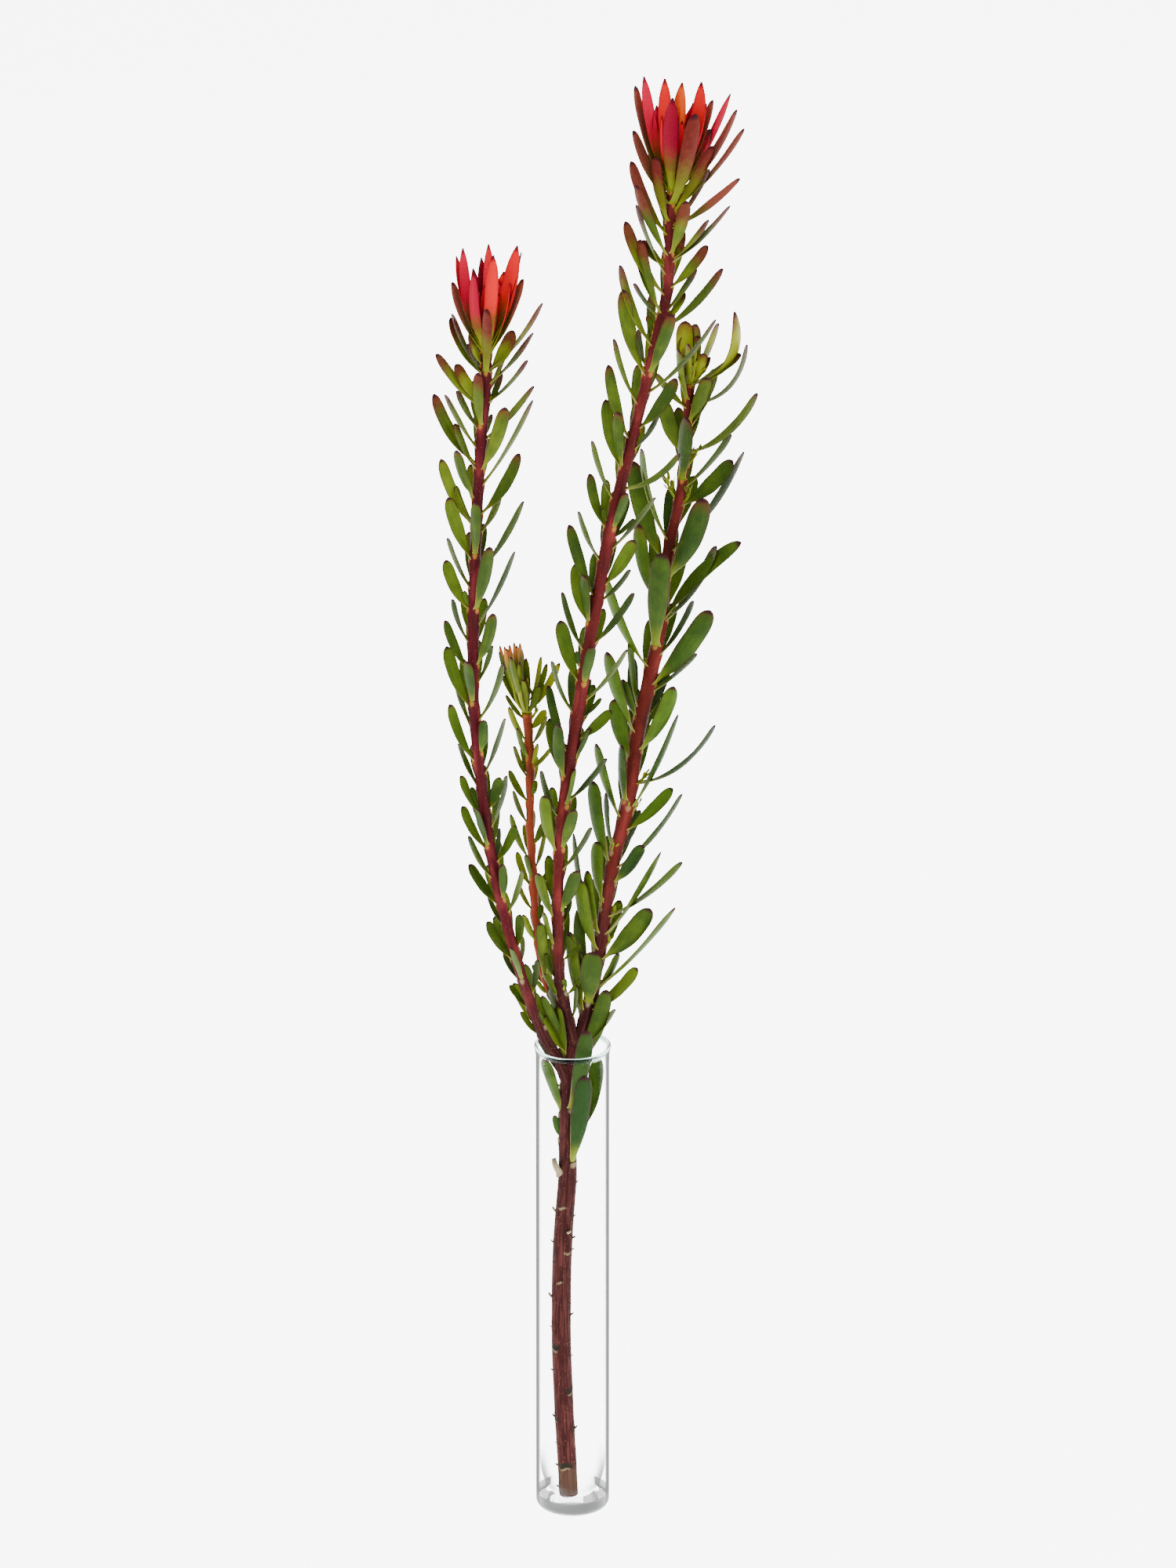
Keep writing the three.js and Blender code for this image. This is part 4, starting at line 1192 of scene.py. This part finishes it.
class ConebushColours(bpy.types.PropertyGroup):
    """Colours of the leaves, bracts and stems."""

    leaf_dark: colour_setting("Leaf dark", "Darker green of the blades", (0.01, 0.029, 0.005))
    leaf_light: colour_setting("Leaf light", "Lighter green of the blades", (0.05, 0.11, 0.008))
    young_dark: colour_setting("Young leaf dark", "Darker green of the young leaves", (0.055, 0.085, 0.006))
    young_light: colour_setting("Young leaf light", "Yellow-green of the young leaves", (0.25, 0.27, 0.012))
    leaf_foot: colour_setting("Leaf foot", "Yellow-green at a leaf's foot", (0.16, 0.19, 0.01))
    leaf_edge: colour_setting("Leaf edge", "Pale rim of a leaf", (0.26, 0.18, 0.07))
    rim_dark: colour_setting("Dark rim", "Brown rim towards a leaf's or bract's tip", (0.035, 0.008, 0.008))
    flush: colour_setting("Flush", "Maroon of a leaf's end", (0.13, 0.02, 0.013))
    flush_dark: colour_setting("Dark flush", "Deep maroon in the flush", (0.055, 0.006, 0.006))
    young_red: colour_setting("Young red", "Orange-red of ripe little leaves", (0.5, 0.13, 0.02))
    callus: colour_setting("Tip", "Dark point of a leaf or bract", (0.025, 0.004, 0.008))
    bract_crimson: colour_setting("Bract crimson", "Dark crimson of the inner bracts", (0.17, 0.002, 0.014))
    bract_pink: colour_setting("Bract pink", "Pink-red of some bracts", (0.45, 0.004, 0.03))
    bract_red: colour_setting("Bract red", "Coral red of most bracts", (0.55, 0.006, 0.009))
    bract_orange: colour_setting("Bract orange", "Orange glow of the bracts", (0.55, 0.06, 0.005))
    bract_shade: colour_setting("Bract shade", "Dark olive-red above a bract's foot", (0.085, 0.05, 0.006))
    bract_brown: colour_setting("Bract brown", "Lighter red-brown of the outer bracts", (0.2, 0.05, 0.03))
    bract_foot: colour_setting("Bract foot", "Olive green low on the bracts", (0.08, 0.078, 0.006))
    stem_red: colour_setting("Stem red", "Burgundy of the young stems", (0.036, 0.002, 0.006))
    stem_orange: colour_setting("Stem orange", "Orange-red of the thin stems", (0.25, 0.045, 0.017))
    stem_glow: colour_setting("Stem glow", "Pink-orange stretches of the young stems", (0.25, 0.035, 0.032))
    stem_light: colour_setting("Stem streaks", "Paler streaks of the young stems", (0.11, 0.01, 0.014))
    bark_dark: colour_setting("Bark dark", "Brown-red of the old stem", (0.02, 0.005, 0.005))
    bark_light: colour_setting("Bark light", "Paler streaks of the old stem", (0.056, 0.016, 0.014))
    bark_grey: colour_setting("Bark grey", "Weathered bark above the cut", (0.045, 0.028, 0.018))
    lenticel: colour_setting("Pores", "Pale pores of the skin", (0.26, 0.12, 0.05))
    slit: colour_setting("Scars", "Dark slits of old leaf scars", (0.01, 0.009, 0.006))
    torn: colour_setting("Torn bases", "Pale tan of torn leaf bases and old pads", (0.2, 0.16, 0.09))
    pad: colour_setting("Leaf pads", "Pale pads under the leaves", (0.32, 0.14, 0.02))


class ConebushStageSettings(bpy.types.PropertyGroup):
    """Floor and light of the studio."""

    floor_radius: length_setting("Floor radius", "Radius of the round floor", 14.0)
    floor_colour: colour_setting("Floor colour", "Colour of the floor", (0.9, 0.9, 0.9))
    glow: strength_setting("Glow", "Light of the floor behind the vase", 6.0)
    sky: strength_setting("Sky", "Strength of the even light", 1.5)
    lamp: strength_setting("Lamp power", "Power of the key lamp", 60.0, "POWER")


def shared_material(slot, make, colours):
    """The look of a slot, made on first use."""
    name = f"{slot}_look"
    return bpy.data.materials.get(name) or make(name, colours)


def nodes_named(start):
    """The frame's nodes whose names are a start and a number."""
    return sorted(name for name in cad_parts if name.rsplit("_", 1)[0] == start)


class CONEBUSH_OT_vase(bpy.types.Operator):
    """Turn the clear glass vase with its thick foot and flared, rounded lip"""

    bl_idname = "conebush.vase"
    bl_label = "Glass vase"

    SEGMENTS = 128

    # The profile starts and ends this near the axis, and its straight walls have rings at these shares
    CENTRE = 0.2 * MM
    WALL_SHARES = (0.02, 0.25, 0.5, 0.75, 0.98)

    # Steps of the rounded foot, the lip and the bowl, and how far the bowl pulls in
    FOOT_STEPS = 10
    LIP_STEPS = 14
    BOWL_STEPS = 16
    BOWL_BEND = 11 * MM

    def execute(self, context):
        sizes = context.scene.conebush_vase
        profile = self.profile(sizes)
        pile = Pile()
        ring = flat_ring(self.SEGMENTS)
        points = [ring * radius + np.array((0, 0, height)) for radius, height in profile]
        top = max(range(len(profile)), key=lambda index: profile[index][1])
        outer = np.repeat([float(index <= top + 2) for index in range(len(profile))], self.SEGMENTS)
        pile.add(np.vstack(points), tube_faces(len(profile), self.SEGMENTS), outer=outer)
        vase = pile.build("glass_vase", glass_material("clear_glass_look", sizes))
        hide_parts("vase")
        return {"FINISHED"}

    def profile(self, sizes):
        """Radius and height from the middle of the underside, over the lip, to that of the floor inside."""
        points = []

        def arc(radius, height, reach, start, end, steps):
            for step in range(steps + 1):
                angle = math.radians(start + (end - start) * step / steps)
                points.append((radius + reach * math.cos(angle), height + reach * math.sin(angle)))

        inner = sizes.body_radius - sizes.wall
        bead = sizes.wall / 2 + 0.2 * MM
        shoulder = sizes.height - sizes.lip_flare
        points.append((self.CENTRE, 0.0))
        points.append((sizes.body_radius * 0.5, 0.0))
        foot = sizes.foot_radius
        arc(sizes.body_radius - foot, foot, foot, -90, 0, self.FOOT_STEPS)
        for share in self.WALL_SHARES:
            points.append((sizes.body_radius, foot + (shoulder - foot) * share))
        points.append((sizes.body_radius + 0.15 * MM, shoulder + 2.5 * MM))
        points.append((sizes.body_radius + 0.6 * MM, shoulder + 5 * MM))
        arc(sizes.lip_radius - bead, sizes.height - bead, bead, -20, 190, self.LIP_STEPS)
        points.append((inner + 0.5 * MM, shoulder + 4 * MM))
        points.append((inner + 0.1 * MM, shoulder + 1.5 * MM))
        bowl_top = sizes.floor + sizes.bowl
        for share in reversed(self.WALL_SHARES):
            points.append((inner, bowl_top + (shoulder - bowl_top) * share))
        for step in range(self.BOWL_STEPS + 1):
            angle = math.radians(90 * step / self.BOWL_STEPS)
            reach = inner - self.BOWL_BEND + self.BOWL_BEND * math.cos(angle)
            points.append((reach, sizes.floor + sizes.bowl * (1 - math.sin(angle))))
        points.append((inner * 0.3, sizes.floor + 0.3 * MM))
        points.append((self.CENTRE, sizes.floor + 0.4 * MM))
        return points


def keep_feet(context, feet):
    """Keeps where every blade leaves its stem, for the steps that follow."""
    context.scene["conebush_feet"] = {
        stem: [number for foot in group for number in foot] for stem, group in feet.items()
    }


def kept_feet(context):
    """Where the blades made so far leave their stems."""
    rows = context.scene.get("conebush_feet")
    if rows is None:
        raise RuntimeError("the leaves come before this step")
    size = len(Foot._fields)
    return {
        stem: [Foot(*numbers[index : index + size]) for index in range(0, len(numbers), size)]
        for stem, numbers in rows.items()
    }


class CONEBUSH_OT_leaves(bpy.types.Operator):
    """Grow the leaves of the four branches and those in the mouth of the vase"""

    bl_idname = "conebush.leaves"
    bl_label = "Leaves"

    SEED = 11

    # Hidden leaves: how far apart the spiral's places are along each branch, and how far they keep from the
    # start and the end of it
    PITCH = {"branch_left": 7 * MM, "branch_short": 7 * MM, "branch_centre": 6.5 * MM, "branch_right": 7 * MM}
    HIDDEN_START = 45 * MM
    HIDDEN_END = 14 * MM

    def execute(self, context):
        colours = context.scene.conebush_colours
        dice = random.Random(self.SEED)
        feet = {stem: [] for stem in STEMS}
        for name, kind in KINDS.items():
            if not name.startswith("leaves"):
                continue
            route = Route(STEMS[kind.stem])
            pile = Pile()
            add_seen_blades(pile, kind, route, dice, feet[kind.stem])
            if kind.stem in self.PITCH:
                runs = np.arange(self.HIDDEN_START, route.length - self.HIDDEN_END, self.PITCH[kind.stem])
                add_hidden_blades(pile, kind, route, dice, feet[kind.stem], runs)
            piece = pile.build(name, shared_material(kind.slot, leaf_material, colours))
            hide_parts(*nodes_named(kind.replaces))
        keep_feet(context, feet)
        return {"FINISHED"}


class CONEBUSH_OT_heads(bpy.types.Operator):
    """Grow the bracts of the two red heads"""

    bl_idname = "conebush.heads"
    bl_label = "Red heads"

    SEED = 23

    # Picture height that a head's inner bracts reach, and how many places they have
    INNER = {"bracts_left": (343, 14), "bracts_centre": (122, 16)}

    def execute(self, context):
        colours = context.scene.conebush_colours
        dice = random.Random(self.SEED)
        feet = kept_feet(context)
        for name, inner in self.INNER.items():
            kind = KINDS[name]
            route = Route(STEMS[kind.stem])
            pile = Pile()
            add_seen_blades(pile, kind, route, dice, feet[kind.stem])
            add_inner_bracts(pile, kind, route, dice, *inner)
            piece = pile.build(name, shared_material(kind.slot, bract_material, colours))
            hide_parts(*nodes_named(kind.replaces))
        keep_feet(context, feet)
        return {"FINISHED"}


class CONEBUSH_OT_shoots(bpy.types.Operator):
    """Grow the small side shoots, the buds above the leaves and the torn leaf bases of the bare stem"""

    bl_idname = "conebush.shoots"
    bl_label = "Shoots, buds and torn bases"

    SEED = 7
    ROWS = {"branch_short": SHOOTS_SHORT, "branch_right": SHOOTS_RIGHT}

    # Branches with buds, and the share of their leaf feet that has one
    BUDDED = ("branch_left", "branch_centre", "branch_right")
    BUD_SHARE = 0.3

    def execute(self, context):
        colours = context.scene.conebush_colours
        dice = random.Random(self.SEED)
        feet = kept_feet(context)
        buds, leaves, twigs, torn = Pile(), Pile(), Pile(), Pile()
        for stem in self.BUDDED:
            add_buds(buds, Route(STEMS[stem]), feet[stem], dice, self.BUD_SHARE)
        for stem, rows in self.ROWS.items():
            route = Route(STEMS[stem])
            for row in rows:
                add_shoot(leaves, twigs, route, Shoot(*row), dice, feet[stem])
        add_stubs(torn, Route(STEMS["main_stem"]), STUBS, dice)
        for name, pile, slot, make in (
            ("shoot_leaves", leaves, "young_leaf", leaf_material),
            ("buds", buds, "young_leaf", leaf_material),
            ("shoot_twigs", twigs, "young_leaf", leaf_material),
            ("torn_bases", torn, "woody_stem", torn_material),
        ):
            piece = pile.build(name, shared_material(slot, make, colours))
        keep_feet(context, feet)
        return {"FINISHED"}


class CONEBUSH_OT_stems(bpy.types.Operator):
    """Build the woody stem and its four branches, with a cushion under each leaf"""

    bl_idname = "conebush.stems"
    bl_label = "Stems"

    SEED = 5

    # How old the skin is, from rows of height in millimetres and age: 0 red, 1 brown bark, 1.5 grey
    AGES = {
        "main_stem": ((10, 1.6), (24, 1.5), (38, 1.0), (300, 0.8), (332, 0.6)),
        "branch_left": ((320, 0.85), (370, 0.5), (430, 0.2), (842, 0.0)),
        "branch_short": ((320, 0.4), (560, 0.0)),
        "branch_centre": ((330, 0.9), (375, 0.6), (450, 0.2), (948, 0.0)),
        "branch_right": ((330, 0.9), (400, 0.6), (480, 0.3), (781, 0.1)),
    }

    # Old leaf scars: picture height, side in degrees, half width in radians and how dark the slit is
    SCARS = (
        (1714, -140, 0.7, 1.0), (1770, -45, 0.5, 1.0), (1865, -105, 0.9, 0.9), (1533, -110, 0.8, 0.2),
        (1628, -100, 0.5, 0.3), (1590, -60, 0.6, 0.3), (1690, 170, 0.6, 0.6), (1806, 200, 0.6, 0.7),
        (1822, -10, 0.6, 0.6), (1668, 80, 0.7, 0.7), (1745, 120, 0.7, 0.8), (1830, 60, 0.7, 0.8),
        (1560, 100, 0.7, 0.4), (1895, 150, 0.8, 0.5),
    )

    # How orange each stem's skin is
    WARMTH = {
        "main_stem": 0.08,
        "branch_left": 0.06,
        "branch_short": 0.85,
        "branch_centre": 0.14,
        "branch_right": 0.25,
    }

    # Finish of the stems that aren't plain red, and how much wider a branch is where it leaves its stem
    SLOTS = {"main_stem": "woody_stem", "branch_short": "orange_stem"}
    COLLAR = 0.1

    def execute(self, context):
        colours = context.scene.conebush_colours
        dice = random.Random(self.SEED)
        for stem, feet in kept_feet(context).items():
            route = Route(STEMS[stem])
            scars = self.scars(route) if stem == "main_stem" else ()
            pile = Pile()
            age = [(height * MM, value) for height, value in self.AGES[stem]]
            collar = 0.0 if stem == "main_stem" else self.COLLAR
            add_stem(pile, route, feet, dice, age, self.WARMTH[stem], collar, scars)
            piece = pile.build(f"{stem}_skin", shared_material("red_stem", stem_material, colours))
            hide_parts(stem)
        return {"FINISHED"}

    def scars(self, route):
        """Old leaf scars of the bare stem as rows of run, angle, half width and darkness."""
        return [
            (route.run_seen_at(seen_y), math.radians(side), wide, dark)
            for seen_y, side, wide, dark in self.SCARS
        ]


class CONEBUSH_OT_stage(bpy.types.Operator):
    """Set up the pale floor, the soft light and the photograph's camera"""

    bl_idname = "conebush.stage"
    bl_label = "Studio"

    # The floor lies this far below the vase, so that the two faces stay apart
    FLOOR_GAP = 0.02 * MM
    FLOOR_SIDES = 96
    FLOOR_THICKNESS = 50 * MM

    # Each lamp's name, place, size, and power as a share of the setting
    LAMPS = (
        ("key_lamp", (-1.6, -1.8, 2.4), 1.0, 1.0),
        ("fill_lamp", (2.2, -1.2, 1.6), 1.4, 0.75),
        ("back_lamp", (0.4, 2.2, 2.2), 2.0, 0.8),
    )

    def execute(self, context):
        stage = context.scene.conebush_stage
        pile = Pile()
        rim = flat_ring(self.FLOOR_SIDES) * stage.floor_radius
        top = VASE_LOW.z - self.FLOOR_GAP
        points = np.vstack((rim + (0, 0, top), rim + (0, 0, top - self.FLOOR_THICKNESS)))
        pile.add(points, [face[::-1] for face in tube_faces(2, self.FLOOR_SIDES)])
        floor = pile.build("studio_floor", floor_material("studio_floor", stage.floor_colour, stage.glow))
        floor.parent = None
        world = bpy.data.worlds.new("studio_sky")
        world.use_nodes = True
        background = world.node_tree.nodes["Background"]
        background.inputs["Color"].default_value = (1.0, 1.0, 1.0, 1.0)
        background.inputs["Strength"].default_value = stage.sky
        context.scene.world = world
        aim = Vector(VIEW_TARGET)
        for name, place, size, share in self.LAMPS:
            lamp = bpy.data.lights.new(name, "AREA")
            lamp.shape = "DISK"
            lamp.size = size
            lamp.energy = stage.lamp * share
            holder = bpy.data.objects.new(name, lamp)
            holder.location = place
            holder.rotation_mode = "QUATERNION"
            holder.rotation_quaternion = (aim - holder.location).to_track_quat("-Z", "Y")
            context.scene.collection.objects.link(holder)
        self.camera(context)
        return {"FINISHED"}

    def camera(self, context):
        """The photograph's camera, upright in the picture."""
        data = bpy.data.cameras.new("photo_camera")
        data.sensor_fit = "AUTO"
        data.sensor_width = SENSOR
        data.lens = LENS
        data.clip_end = VIEW_REACH
        camera = bpy.data.objects.new("photo_camera", data)
        axes = Matrix((RIGHTWARD, UPWARD, -FORWARD)).transposed().to_4x4()
        axes.translation = Vector(EYE)
        camera.matrix_world = axes
        context.scene.collection.objects.link(camera)
        context.scene.camera = camera


class CONEBUSH_PT_panel(bpy.types.Panel):
    """The conebush stem's settings and steps"""

    bl_idname = "CONEBUSH_PT_panel"
    bl_label = "Conebush in a vase"
    bl_space_type = "VIEW_3D"
    bl_region_type = "UI"
    bl_category = "Conebush"

    def draw(self, context):
        layout = self.layout
        for settings in SETTINGS:
            column = layout.box().column(align=True)
            group = getattr(context.scene, settings)
            for name in group.__annotations__:
                column.prop(group, name)
        for step in STEPS:
            layout.operator(step.bl_idname)


SETTINGS = {
    "conebush_vase": ConebushVaseSettings,
    "conebush_colours": ConebushColours,
    "conebush_stage": ConebushStageSettings,
}
STEPS = (
    CONEBUSH_OT_vase,
    CONEBUSH_OT_leaves,
    CONEBUSH_OT_heads,
    CONEBUSH_OT_shoots,
    CONEBUSH_OT_stems,
    CONEBUSH_OT_stage,
)
CLASSES = (*SETTINGS.values(), *STEPS, CONEBUSH_PT_panel)


def register():
    for kind in CLASSES:
        bpy.utils.register_class(kind)
    for name, kind in SETTINGS.items():
        setattr(bpy.types.Scene, name, bpy.props.PointerProperty(type=kind))


def unregister():
    for name in SETTINGS:
        delattr(bpy.types.Scene, name)
    for kind in reversed(CLASSES):
        bpy.utils.unregister_class(kind)


def main():
    """Registers the add-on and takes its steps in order."""
    register()
    bpy.ops.conebush.vase()
    bpy.ops.conebush.leaves()
    bpy.ops.conebush.heads()
    bpy.ops.conebush.shoots()
    bpy.ops.conebush.stems()
    bpy.ops.conebush.stage()


if __name__ == "__main__":
    main()
